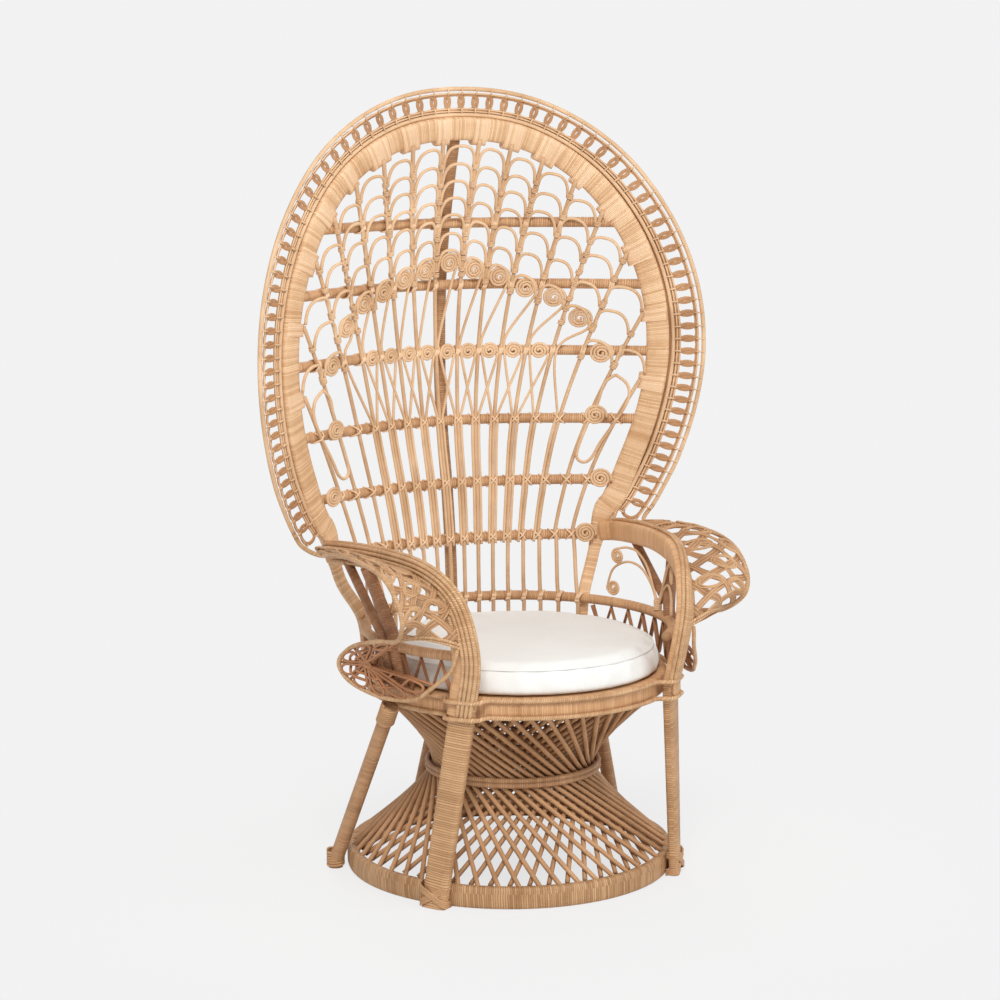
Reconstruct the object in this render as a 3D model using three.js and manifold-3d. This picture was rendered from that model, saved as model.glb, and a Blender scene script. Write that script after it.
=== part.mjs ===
// A rattan peacock chair: hourglass base of twisted rods, round seat, rolled arms, and a tall
// dished back with a lace border. Millimetres, +Z up, the sitter faces -Y.
import * as THREE from 'three';
import { mergeVertices } from 'three/addons/utils/BufferGeometryUtils.js';
import Module from 'manifold-3d';

const wasm = await Module();
wasm.setup();
const degree = Math.PI / 180;
const weldDistance = 0.001;
const clearance = 0.4;
const layGap = 1.2;
const caneTurn = 10;

// Base and seat
const baseRadius = 318;
const baseHoopHeight = 42;
const baseHoopThickness = 20;
const rodRadius = 4.5;
const rodCount = 36;
const rodStandoff = 5.1;
const familyGap = 16;
const waistRadius = 152;
const waistHeight = 203;
const waistForward = 15;
const waistCaneRadius = 4.5;
const lowerTwist = 44;
const upperTwist = 50;
const seatRadius = 286;
const seatForward = 42;
const seatHoopBottom = 362;
const seatHoopHeight = 40;
const seatHoopThickness = 24;
const edgeCaneRadius = 4;
const deckThickness = 8;

// Cushion
const cushionRadius = 277;
const cushionForward = 49;
const cushionSeamHeight = 41;
const cushionCrown = 17;
const cushionTuck = 7;
const cushionRiseShares = [[0.975, 0.3], [0.8, 0.72], [0.45, 0.94]];

// Poles and legs. Angles go round the seat or base from the sitter's left side.
const poleRadius = 12;
const sideLegRadius = 14;
const legFootGap = 10;
const spineFootGap = 20;
const frontFootGap = 1.5;
const sideLegTop = 368;
const footHeight = 12;
const sideLegAngles = { right: [25, 38], left: [163, 194] };
const spineFootAngle = 99;
const frontFootAngle = -40;

// Back: the dished surface that the rails, spokes and hoop lie on
const crownHeight = 1500;
const backFootHeight = 450;
const backDepth = 280;
const bowShares = [0.87, 0.975, 0.94, 0.88, 0.79];
const dishReach = 360;
const dishDepth = 102;
const dishTaperShare = 0.2;
const hollowDepth = 50;
const hollowFoot = 690;
const hollowTop = 1420;
const slopeStep = 1;
const hoopCentreRise = 472;
const hoopRise = 470.6;
const hoopShares = [1, 1, 0.974, 0.925, 0.88, 0.848, 0.838, 0.86, 0.92];
const hoopEndAngle = 136;
const bandWidth = 46;
const bandThickness = 24;
const postWidth = 24;
const postKneeOut = 276;
const postKneeRise = 70;
const postAngle = 40;
const postFootHeight = 386;
const trimRadius = 3.5;
const trimReach = 128;
const laceReach = 128;
const laceWidth = 40;
const laceThickness = 7;
const laceWindowCount = 68;
const hoopStep = 8;
const rimGap = 1.8;
const laceOpenShare = 0.62;
const rimRadius = 4.5;
const railRadius = 9.5;
const railHeightShares = [0.7999, 0.6684, 0.5251, 0.3777, 0.2451, 0.1273];
const seatRailRise = 76;
const seatRailRadius = 9;
const seatRailStart = -40;
const spokeRadius = 4;
const spokeSpacing = 29;
const spokeTopAngles = [5, 14, 23.5, 34, 45, 58, 76, 96];
const spokeFanPower = 1.5;
const coilRadius = 20;
const smallCoilRadius = 16;
const coilThickness = 7;
const coilHeightShares = [0.7023, 0.6853, 0.6609, 0.6408, 0.5962, 0.5209, 0.3872, 0.2461];
const smallCoilHeightShares = [0.5273, 0.5273, 0.5273, 0.5273, 0.5273, null, null, 0.1326];
const middleCoilHeightShares = [0.7182, 0.5273];
const tailRadius = 2.6;
const scallopRadius = 3;
const scallopColumnCounts = [5, 5, 4, 4, 3];
const scallopPitch = 36;
const scallopRise = 26;
const scallopStart = 40;
const scallopRoundness = 0.7;
const scallopGaps = [1, 1, 1.2, 1.2, 1.2];

// Arms. Routes are shares of the arm's spread, reach and height.
const armSpread = 302;
const armReach = 285;
const armRise = 162;
const armWidth = 44;
const armThickness = 18;
const armRoute = [
  [1.02, 0.54, 0.985], [0.99, 0.3, 0.978], [0.955, 0, 0.972], [0.915, -0.3, 0.978], [0.865, -0.6, 0.975],
  [0.815, -0.8, 0.95], [0.775, -0.93, 0.9], [0.745, -1, 0.82], [0.716, -0.99, 0.73], [0.706, -0.907, 0.62],
];
const rollEdgeRoute = [
  [1.165, 0.32, 0.985], [1.2, 0.035, 1], [1.225, -0.28, 1.01], [1.22, -0.58, 1.01],
  [1.2, -0.84, 0.99], [1.185, -1.01, 0.94], [1.17, -1.055, 0.89], [1.15, -1, 0.85],
  [1.115, -0.825, 0.805], [1.115, -0.49, 0.775],
  [1.14, -0.14, 0.73], [1.17, 0.02, 0.672], [1.14, -0.07, 0.625], [1.08, -0.31, 0.605],
  [1.02, -0.53, 0.605], [0.95, -0.76, 0.625], [0.9, -0.9, 0.675],
];
const rollEdgeRadius = 4.5;
const rollNeck = 0.5;
const rollArmShare = 0.76;
const rollRimShare = 0.72;
const weaveAlongCount = 8;
const weaveAcrossCount = 3;
const weaveThickness = 6;
const weaveBulge = 22;
const weaveOpenShare = 0.5;
const sample = 0.01;
const loopHub = [1.09, -0.27, 0.69];
const loopCellCount = 9;
const loopHubShare = 0.2;
const loopRimShare = 0.845;
const loopOpenShare = 0.6;
const panelRadius = 292;
const panelCaneRadius = 3;
const panelCoilRadius = 15;
const panelDrop = 50;
const panelCoils = [[22, 0.84], [24, 0.2], [-24, 0.82], [-27, 0.25]];
const panelUpperRoute = [
  [22, 0.98], [14, 1], [5, 0.75], [0, 0.35], [-4.5, 0], [-9, 0.4], [-14, 0.85], [-20, 1], [-25, 0.95],
];
const panelLowerRoute = [
  [27, 0.2], [25.5, 0.5], [19, 0.72], [12, 0.68], [5, 0.42], [-1, 0.1],
  [-4.5, 0.03], [-8, 0.15], [-12, 0.45], [-18, 0.55], [-23, 0.42], [-26, 0.35],
];
const panelUpperSteps = 12;
const panelLowerSteps = 11;
const armPostRadius = 10;
const armPostRoute = [[-6, 307.2, 406], [12, 334.2, 592]];
const lacingRound = 294;
const lacingEnd = 34;
const lacingTurnCount = 17;

const seatCentre = new THREE.Vector3(0, -seatForward, 0);
const seatTop = seatHoopBottom + seatHoopHeight;
const seatEdge = seatRadius + 2 * edgeCaneRadius + clearance;
const seatRailHeight = seatTop + seatRailRise;
const postKneeHeight = seatRailHeight + postKneeRise;
const armHeight = seatRailHeight + armRise;
const hoopCentreHeight = seatRailHeight + hoopCentreRise;
// Heights on the back, as shares of the way from the seat rail to the hoop's top.
const backHeight = (share) => seatRailHeight + share * (hoopCentreRise + hoopRise);
const railHeights = railHeightShares.map(backHeight);
const coilHeights = coilHeightShares.map(backHeight);
const smallCoilHeights = smallCoilHeightShares.map((share) => share && backHeight(share));
const middleCoilHeights = middleCoilHeightShares.map(backHeight);
const spokeWaistHeight = railHeights.at(-1);
// How near the middle of a cane its flats lie, as a share of its radius.
const flat = (sides) => Math.cos(Math.PI / sides);
const spokeForward = railRadius * flat(5) + spokeRadius + layGap;
const scallopForward = spokeForward + spokeRadius * flat(5) + scallopRadius * flat(4);
const tailForward = spokeForward + spokeRadius * flat(5) + tailRadius * flat(4) + layGap;
const spokeRound = cushionRadius + spokeRadius + clearance;
const seatRailRound = spokeRound + spokeRadius + seatRailRadius + clearance;
const panelBottom = seatRailHeight + seatRailRadius * flat(5) + panelCaneRadius * flat(4) + clearance;
const panelTop = armHeight - panelDrop;
const canes = { roughness: 0.55, metalness: 0 };
const rattan = new THREE.MeshStandardMaterial({ color: 0xd3a06b, ...canes });
const wrapped = new THREE.MeshStandardMaterial({ color: 0xdba873, ...canes });
const shaded = new THREE.MeshStandardMaterial({ color: 0xb98252, ...canes });
const linen = new THREE.MeshStandardMaterial({ color: 0xf3f0ea, roughness: 0.9, metalness: 0 });
const upward = new THREE.Vector3(0, 0, 1);
const forwards = new THREE.Vector3(0, -1, 0);

const chair = new THREE.Group();
function piece(name, geometry, material) {
  const mesh = new THREE.Mesh(geometry, material);
  mesh.name = name;
  chair.add(mesh);
}

// Evenly spread shares from 0 to 1.
const steps = (n) => Array.from({ length: n + 1 }, (_, i) => i / n);
const between = (a, b, n) => steps(n).map((t) => a + (b - a) * t);
const smooth = (points, count) => new THREE.CatmullRomCurve3(points, false, 'centripetal').getPoints(count);

// A smooth value through evenly spaced ones, for t from 0 to 1.
function through(values, t) {
  const last = values.length - 1;
  const place = Math.min(Math.max(t, 0), 1) * last;
  const i = Math.min(Math.floor(place), last - 1);
  const f = place - i;
  const at = (k) => values[Math.min(Math.max(k, 0), last)];
  const [a, b, c, d] = [at(i - 1), at(i), at(i + 1), at(i + 2)];
  return b + 0.5 * f * (c - a + f * (2 * a - 5 * b + 4 * c - d + f * (3 * (b - c) + d - a)));
}

// Rounds the turns of a line of points, each by two points beside it, so that a cane keeps its
// width there. A turn to leave sharp has isTurn(i) false.
function easeTurns(corners, reach, isTurn = () => true) {
  return corners.flatMap((p, i) => {
    if (i === 0 || i === corners.length - 1 || !isTurn(i)) return [p];
    return [corners[i - 1], corners[i + 1]].map((q) => p.clone().lerp(q, reach / p.distanceTo(q)));
  });
}

// A point at an angle and radius round an upright axis in the chair's middle plane.
function polar(angle, radius, centreY, z) {
  const a = angle * degree;
  return new THREE.Vector3(radius * Math.cos(a), centreY + radius * Math.sin(a), z);
}

// The back surface: Y for a place across and a height, and a point set forward of it. Its sides
// come forward, and its middle has a hollow that ends above and below the fan.
function backY(x, z) {
  const share = (z - backFootHeight) / (crownHeight - backFootHeight);
  const dish = dishDepth * (1 + dishTaperShare * (0.5 - share)) * (x / dishReach) ** 2;
  const across = Math.max(1 - (x / dishReach) ** 2, 0) ** 2;
  const rise = Math.min(Math.max((z - hollowFoot) / (hollowTop - hollowFoot), 0), 1);
  return backDepth * through(bowShares, share) - dish + hollowDepth * across * Math.sin(Math.PI * rise);
}
function backNormal(x, z) {
  const slopeX = (backY(x + slopeStep, z) - backY(x - slopeStep, z)) / (2 * slopeStep);
  const slopeZ = (backY(x, z + slopeStep) - backY(x, z - slopeStep)) / (2 * slopeStep);
  return new THREE.Vector3(slopeX, -1, slopeZ).normalize();
}
function onBack(x, z, forward = 0) {
  return new THREE.Vector3(x, backY(x, z), z).addScaledVector(backNormal(x, z), forward);
}
const facingSitter = (points) => (i) => backNormal(points[i].x, Math.max(points[i].z, backFootHeight));

// The hoop's middle line by angle from the crown, and points set out from it along the back.
function hoopPlane(angle) {
  const r = hoopRise * through(hoopShares, Math.abs(angle) / hoopEndAngle);
  const a = angle * degree;
  return new THREE.Vector2(r * Math.sin(a), hoopCentreHeight + r * Math.cos(a));
}
function hoopPoint(angle, outward = 0, forward = 0) {
  const ahead = hoopPlane(Math.min(angle + 1, hoopEndAngle));
  const behind = hoopPlane(Math.max(angle - 1, -hoopEndAngle));
  const along = ahead.sub(behind).normalize();
  const p = hoopPlane(angle).add(new THREE.Vector2(-along.y, along.x).multiplyScalar(outward));
  return onBack(p.x, p.y, forward);
}

// A closed outline of so many flats inside an oval of the half width and half depth.
function polygon(sides, halfWidth, halfDepth = halfWidth) {
  return Array.from({ length: sides }, (_, i) => {
    const a = ((i + 0.5) * 2 * Math.PI) / sides;
    return [halfWidth * Math.sin(a), halfDepth * Math.cos(a)];
  });
}

function facingOut(positions, index) {
  const g = new THREE.BufferGeometry();
  g.setAttribute('position', new THREE.Float32BufferAttribute(positions.flatMap((p) => p.toArray()), 3));
  let volume = 0;
  for (let i = 0; i < index.length; i += 3) {
    const [a, b, c] = [0, 1, 2].map((k) => positions[index[i + k]]);
    volume += a.dot(b.clone().cross(c));
  }
  g.setIndex(volume < 0 ? index.slice().reverse() : index);
  return g;
}

// The local frame at point i of a line: along it, across it, and facing the given way.
function frameAt(points, i, facing, closed = false) {
  const n = points.length;
  const before = closed ? points[(i + n - 1) % n] : points[Math.max(i - 1, 0)];
  const after = closed ? points[(i + 1) % n] : points[Math.min(i + 1, n - 1)];
  const along = after.clone().sub(before).normalize();
  const up = facing(i).clone();
  up.addScaledVector(along, -up.dot(along)).normalize();
  return { along, up, side: along.clone().cross(up) };
}

// Sweeps an outline along points. Its second axis is the way given by facing(i).
function sweep(points, outline, facing, { closed = false, scale = () => 1 } = {}) {
  const n = points.length;
  const sides = outline.length;
  const positions = points.flatMap((p, i) => {
    const { up, side } = frameAt(points, i, facing, closed);
    return outline.map(([u, v]) => p.clone().addScaledVector(side, u * scale(i)).addScaledVector(up, v));
  });
  const index = [];
  const rings = closed ? n : n - 1;
  for (let i = 0; i < rings; i++) {
    for (let k = 0; k < sides; k++) {
      const [a, b] = [i * sides + k, i * sides + ((k + 1) % sides)];
      const [c, d] = [((i + 1) % n) * sides + k, ((i + 1) % n) * sides + ((k + 1) % sides)];
      index.push(a, b, d, a, d, c);
    }
  }
  if (!closed) {
    const far = (n - 1) * sides;
    for (let k = 1; k < sides - 1; k++) index.push(0, k + 1, k, far, far + k, far + k + 1);
  }
  return facingOut(positions, index);
}
function cane(points, radius, facing, sides, options) {
  const turned = typeof facing === 'function' ? facing : () => facing;
  return sweep(points, polygon(sides, radius), turned, options);
}
// A level hoop whose outline has its flats at the top and bottom.
function ring(radius, height, centreY, width, tall, count, sides) {
  const points = Array.from({ length: count }, (_, i) => polar((i * 360) / count, radius, centreY, height));
  const corner = 1 / Math.cos(Math.PI / sides);
  const outline = polygon(sides, (corner * width) / 2, (corner * tall) / 2);
  return sweep(points, outline, () => upward, { closed: true });
}

function solid(geometry) {
  const g = geometry.clone();
  g.deleteAttribute('normal');
  g.deleteAttribute('uv');
  const m = mergeVertices(g, weldDistance);
  return new wasm.Manifold(new wasm.Mesh({
    numProp: 3,
    vertProperties: m.attributes.position.array,
    triVerts: new Uint32Array(m.index.array),
  }));
}
function joined(geometries) {
  const mesh = geometries.map(solid).reduce((a, b) => a.add(b)).getMesh();
  const g = new THREE.BufferGeometry();
  g.setAttribute('position', new THREE.Float32BufferAttribute(mesh.vertProperties, mesh.numProp));
  return g.setIndex(new THREE.BufferAttribute(mesh.triVerts, 1));
}

// A sheet with a gap in each cell, such as lace or open weave. place(u, v) gives a point and the way out.
function net(place, along, across, thickness, openShare) {
  const positions = [];
  const index = [];
  const faces = [thickness / 2, -thickness / 2];
  const corner = (u, v, lift) => {
    const { point, out } = place(u, v);
    return positions.push(point.clone().addScaledVector(out, lift)) - 1;
  };
  const [top, under] = faces.map((lift) => steps(along).map((u) =>
    steps(across).map((v) => corner(u, v, lift))));
  const quad = (a, b, c, d) => index.push(a, b, c, a, c, d);
  const [low, high] = [(1 - openShare) / 2, (1 + openShare) / 2];
  const hole = [[low, low], [high, low], [high, high], [low, high]];
  for (let i = 0; i < along; i++) {
    for (let j = 0; j < across; j++) {
      const [holeTop, holeUnder] = faces.map((lift) =>
        hole.map(([s, t]) => corner((i + s) / along, (j + t) / across, lift)));
      const [rimTop, rimUnder] = [top, under].map((g) =>
        [g[i][j], g[i + 1][j], g[i + 1][j + 1], g[i][j + 1]]);
      for (let k = 0; k < 4; k++) {
        const m = (k + 1) % 4;
        quad(rimTop[k], rimTop[m], holeTop[m], holeTop[k]);
        quad(rimUnder[m], rimUnder[k], holeUnder[k], holeUnder[m]);
        quad(holeTop[k], holeTop[m], holeUnder[m], holeUnder[k]);
      }
    }
  }
  for (let i = 0; i < along; i++) {
    quad(under[i][0], under[i + 1][0], top[i + 1][0], top[i][0]);
    quad(top[i][across], top[i + 1][across], under[i + 1][across], under[i][across]);
  }
  for (let j = 0; j < across; j++) {
    quad(top[0][j], top[0][j + 1], under[0][j + 1], under[0][j]);
    quad(under[along][j], under[along][j + 1], top[along][j + 1], top[along][j]);
  }
  return facingOut(positions, index);
}

function mirrored(geometry) {
  const g = geometry.clone();
  g.scale(-1, 1, 1);
  return g.setIndex(Array.from(g.index.array).reverse());
}

buildBase();
buildSeat();
buildLegs();
buildBack();
buildFan();
buildScallops();
buildArms();

// The origin is on the floor, under the middle of the chair's box.
const box = new THREE.Box3().setFromObject(chair);
chair.position.set(-(box.min.x + box.max.x) / 2, -(box.min.y + box.max.y) / 2, -box.min.z);

function buildBase() {
  const hoopMiddle = baseRadius - baseHoopThickness / 2;
  const hoop = ring(hoopMiddle, baseHoopHeight / 2, 0, baseHoopThickness, baseHoopHeight, 36, 6);
  piece('base_hoop', hoop, wrapped);
  piece('base_rods_outer', rodFamily(-1, 0), shaded);
  piece('base_rods_inner', rodFamily(1, familyGap), shaded);
  const round = waistRadius + rodRadius + waistCaneRadius + rodStandoff;
  const waist = ring(round, waistHeight, -waistForward, 2 * waistCaneRadius, 4 * waistCaneRadius, 30, 6);
  piece('waist_hoop', waist, rattan);
}

// One family of rods, all leaning the same way. They are one long cane that turns over at each end.
function rodFamily(turn, inward) {
  const low = baseHoopHeight + rodRadius * flat(4) + 2 * clearance;
  const high = seatHoopBottom - rodRadius * flat(4) - 2 * clearance;
  const ends = [baseRadius - baseHoopThickness / 2, seatRadius - seatHoopThickness / 2]
    .map((r) => r - inward);
  const pitch = 360 / rodCount;
  const corners = [];
  for (let i = 0; i < rodCount; i++) {
    const start = i * pitch;
    const rod = [
      polar(start, ends[0], 0, low),
      polar(start + turn * lowerTwist, waistRadius - inward, -waistForward, waistHeight),
      polar(start + turn * (lowerTwist + upperTwist), ends[1], -seatForward, high),
    ];
    corners.push(...(i % 2 ? rod.reverse() : rod));
  }
  const loop = [...corners.slice(1), corners[0], corners[1]];
  const points = easeTurns(loop, caneTurn, (i) => i % 3 !== 0).slice(1);
  return cane(points, rodRadius, (i) => points[i].clone().setZ(0).normalize(), 4, { closed: true });
}

function buildSeat() {
  const hoopMiddle = seatRadius - seatHoopThickness / 2;
  piece('seat_hoop', ring(hoopMiddle, seatHoopBottom + seatHoopHeight / 2, -seatForward,
    seatHoopThickness, seatHoopHeight, 36, 4), wrapped);
  const round = seatRadius + edgeCaneRadius + clearance;
  const heights = { upper: seatTop - edgeCaneRadius, lower: seatHoopBottom + edgeCaneRadius };
  for (const [name, height] of Object.entries(heights)) {
    const edge = ring(round, height, -seatForward, 2 * edgeCaneRadius, 2 * edgeCaneRadius, 36, 4);
    piece(`seat_hoop_${name}_cane`, edge, rattan);
  }
  const deckRadius = seatRadius - seatHoopThickness - 2 * clearance;
  const deck = new THREE.CylinderGeometry(deckRadius, deckRadius, deckThickness, 36);
  deck.rotateX(Math.PI / 2);
  deck.translate(0, -seatForward, seatTop - deckThickness / 2);
  piece('seat_deck', deck, shaded);

  // A round box cushion: flat under, drawn in between its two seams, crowned on top.
  const foot = seatTop + clearance;
  const seam = foot + cushionSeamHeight;
  const r = cushionRadius;
  const profile = [
    [0, foot], [r - 2 * cushionTuck, foot], [r - cushionTuck / 2, foot + cushionTuck / 2],
    [r - cushionTuck / 2, foot + cushionSeamHeight / 2], [r, seam - cushionTuck], [r, seam],
    ...cushionRiseShares.map(([out, rise]) => [r * out, seam + cushionCrown * rise]),
    [0, seam + cushionCrown],
  ];
  const cushion = new THREE.LatheGeometry(profile.map(([x, z]) => new THREE.Vector2(x, z)), 28);
  cushion.rotateX(Math.PI / 2);
  cushion.translate(0, -cushionForward, 0);
  piece('seat_cushion', cushion, linen);
}

function buildLegs() {
  for (const [side, [footAngle, topAngle]] of Object.entries(sideLegAngles)) {
    const foot = polar(footAngle, baseRadius + sideLegRadius + legFootGap, 0, 0);
    const top = polar(topAngle, seatEdge + sideLegRadius * flat(8) + clearance, -seatForward, sideLegTop);
    const leg = [foot, foot.clone().setZ(footHeight), top];
    piece(`side_leg_${side}`, cane(leg, sideLegRadius, forwards, 8), wrapped);
  }
  // The spine: one bent pole from the floor, behind the seat hoop, up the back to the crown.
  const behindSeat = seatRailRound + seatRailRadius + poleRadius * flat(6) + clearance - seatForward;
  const behindRails = -(railRadius + poleRadius * flat(6) + clearance);
  const crown = hoopPoint(0, -bandWidth / 2 - poleRadius);
  const foot = polar(spineFootAngle, baseRadius + poleRadius + spineFootGap, 0, footHeight);
  const points = smooth([
    foot,
    new THREE.Vector3(0, behindSeat, seatTop),
    new THREE.Vector3(0, behindSeat, seatRailHeight),
    ...railHeights.map((z) => onBack(0, z, behindRails)).reverse(),
    onBack(0, crown.z, behindRails),
  ], 18);
  points.unshift(foot.clone().setZ(0));
  piece('back_spine', cane(points, poleRadius, forwards, 6), wrapped);
}

function buildBack() {
  // The band of the hoop, its two ends drawn narrower and down beside the seat rail as posts.
  const postRound = seatRailRound + seatRailRadius * flat(10) + postWidth / 2;
  const posts = [
    onBack(postKneeOut, postKneeHeight),
    polar(postAngle, postRound, -seatForward, seatRailHeight),
    polar(postAngle, postRound, -seatForward, postFootHeight),
  ];
  const left = posts.map((p) => p.clone().setX(-p.x)).reverse();
  const arc = between(-hoopEndAngle, hoopEndAngle, (2 * hoopEndAngle) / hoopStep).map((a) => hoopPoint(a));
  const points = [...left, ...arc, ...posts];
  const scale = (i) => {
    const fromEnd = Math.min(i, points.length - 1 - i);
    return fromEnd < posts.length ? postWidth / bandWidth : 1;
  };
  const outline = polygon(6, bandWidth / 2, bandThickness / 2);
  piece('back_hoop', sweep(points, outline, facingSitter(points), { scale }), wrapped);

  const beside = (reach, outward) =>
    between(-reach, reach, (2 * reach) / hoopStep).map((a) => hoopPoint(a, outward));
  const trimOut = bandWidth / 2 + trimRadius * flat(4) + clearance;
  const trim = beside(trimReach, trimOut);
  piece('back_hoop_trim', cane(trim, trimRadius, facingSitter(trim), 4), rattan);
  const laceIn = trimOut + trimRadius * flat(4) + clearance;
  const laceAt = (u, v) => {
    const point = hoopPoint(laceReach * (2 * u - 1), laceIn + laceWidth * v);
    return { point, out: backNormal(point.x, point.z) };
  };
  piece('border_lace', net(laceAt, laceWindowCount, 1, laceThickness, laceOpenShare), shaded);
  const rim = beside(laceReach, laceIn + laceWidth + rimRadius + rimGap);
  piece('border_rim', cane(rim, rimRadius, facingSitter(rim), 5), rattan);

  railHeights.forEach((z, i) => {
    const reach = Math.min(hoopInside(z + railRadius), hoopInside(z - railRadius)) - layGap;
    const half = spokeTopAngles.map((_, k) => spokeOut(k, z)).filter((x) => x < reach - bandThickness);
    const rail = [-reach, ...half.map((x) => -x).reverse(), ...half, reach].map((x) => onBack(x, z));
    piece(`back_rail_${i + 1}`, cane(rail, railRadius, facingSitter(rail), 5), wrapped);
  });

  // The seat rail runs round outside the cushion, from one front post by the back to the other.
  const round = between(seatRailStart, 180 - seatRailStart, 36)
    .map((a) => polar(a, seatRailRound, -seatForward, seatRailHeight));
  piece('seat_rail', cane(round, seatRailRadius, upward, 5), wrapped);
}

// How far out the inner edge of the hoop lies at a height.
function hoopInside(z) {
  const edge = between(hoopStep, hoopEndAngle, 400).map((a) => hoopPoint(a, -bandWidth / 2));
  const nearest = edge.reduce((a, b) => (Math.abs(b.z - z) < Math.abs(a.z - z) ? b : a));
  if (z > edge.at(-1).z) return nearest.x;
  const end = hoopPlane(hoopEndAngle);
  const share = (end.y - z) / (end.y - postKneeHeight);
  return end.x + (postKneeOut - end.x) * share - postWidth / 2 - rimRadius;
}

// Spoke k, counted out from the middle, at a height. Low down it leaves the back for the seat hoop.
function spokeOut(k, z) {
  const top = hoopPoint(spokeTopAngles[k], -bandWidth / 2 - spokeRadius);
  const foot = spokeSpacing * (k + 0.5);
  const share = Math.max(z - seatRailHeight, 0) / (top.z - seatRailHeight);
  return foot + (top.x - foot) * share ** spokeFanPower;
}
function spokeAt(k, z, forward = spokeForward) {
  const x = spokeOut(k, z);
  if (z >= spokeWaistHeight) return onBack(x, z, forward);
  const onRing = Math.sqrt(spokeRound ** 2 - x ** 2) - seatForward;
  const knee = onBack(spokeOut(k, spokeWaistHeight), spokeWaistHeight, forward).y;
  const share = Math.max(z - seatRailHeight, 0) / (spokeWaistHeight - seatRailHeight);
  return new THREE.Vector3(x, onRing + (knee - onRing) * share, z);
}

function buildFan() {
  spokeTopAngles.forEach((angle, k) => {
    const top = hoopPoint(angle, -bandWidth / 2).z - 2 * spokeRadius;
    const crossings = railHeights.filter((z) => z < top - 2 * railRadius).reverse();
    const high = (crossings.at(-1) + top) / 2;
    const line = [seatTop + clearance, seatRailHeight, ...crossings, high, top].map((z) => spokeAt(k, z));
    const bodies = [cane(line, spokeRadius, facingSitter(line), 5)];
    bodies.push(coilBeside(k, coilHeights[k], coilRadius));
    if (smallCoilHeights[k]) bodies.push(coilBeside(k, smallCoilHeights[k], smallCoilRadius));
    piece(`fan_spoke_left_${k + 1}`, mirrored(joined(bodies)), rattan);
    if (k === 0) {
      bodies.push(coilBeside(0, middleCoilHeights[0], -coilRadius));
      bodies.push(coilBeside(0, middleCoilHeights[1], -smallCoilRadius));
    }
    piece(`fan_spoke_right_${k + 1}`, joined(bodies), rattan);
  });
  const upper = [middleCoilHeights[0], ...coilHeights.slice(0, 6)];
  piece('scroll_tails_upper', tailRow(upper, railHeights[2] + 2 * railRadius), rattan);
  const lower = new Array(6).fill(smallCoilHeights[0]);
  piece('scroll_tails_lower', tailRow(lower, railHeights[3] + 2 * railRadius), rattan);
}

// A coil beside spoke k. Outside it with a positive radius, inside it with a negative one.
function coilBeside(k, z, outward) {
  const radius = Math.abs(outward);
  const centre = onBack(spokeAt(k, z).x + outward, z, spokeForward);
  return coilAt(centre, radius, backNormal(centre.x, z));
}

// The flat disc of a tight coil, its axis turned to the given way.
function coilAt(centre, radius, axis) {
  const coil = new THREE.CylinderGeometry(radius, radius, coilThickness, 8);
  coil.applyQuaternion(new THREE.Quaternion().setFromUnitVectors(new THREE.Vector3(0, 1, 0), axis));
  return coil.translate(...centre);
}

// The tails of a row of scrolls, run together as one cane that zigzags over the fronts of the spokes.
function tailRow(highs, low) {
  const points = [];
  const reach = highs.length - 1;
  for (let k = -reach; k <= reach; k++) {
    const side = Math.sign(k);
    const high = highs[Math.abs(k)];
    const x = side ? spokeOut(Math.abs(k) - 1, high) + spokeSpacing / 2 : 0;
    points.push(onBack(side * x, Math.max(high, low + scallopPitch), tailForward));
    if (k === reach) continue;
    const [turn, spoke] = k < 0 ? [-1, -k - 1] : [1, k];
    points.push(onBack(turn * spokeOut(spoke, low), low, tailForward));
  }
  const eased = easeTurns(points, caneTurn);
  return cane(eased, tailRadius, facingSitter(eased), 4);
}

// Rows of arches, each row one scalloped cane lying on the fronts of the spokes.
function buildScallops() {
  scallopColumnCounts.forEach((reach, row) => {
    const forward = scallopForward + scallopGaps[row];
    const edge = (k) => {
      const spoke = k < 0 ? -k - 1 : k;
      const z = hoopPoint(spokeTopAngles[spoke], -bandWidth / 2).z - scallopStart - row * scallopPitch;
      return [(k < 0 ? -1 : 1) * spokeOut(spoke, z), z];
    };
    const points = [];
    for (let k = -reach - 1; k < reach; k++) {
      const [[x0, z0], [x1, z1]] = [edge(k), edge(k + 1)];
      for (const t of [0, 0.27, 0.73]) {
        const rise = scallopRise * Math.sin(Math.PI * t) ** scallopRoundness;
        points.push(onBack(x0 + (x1 - x0) * t, z0 + (z1 - z0) * t + rise, forward));
      }
    }
    points.push(onBack(...edge(reach), forward));
    piece(`scallop_row_${row + 1}`, cane(points, scallopRadius, facingSitter(points), 4), rattan);
  });
}

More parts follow.
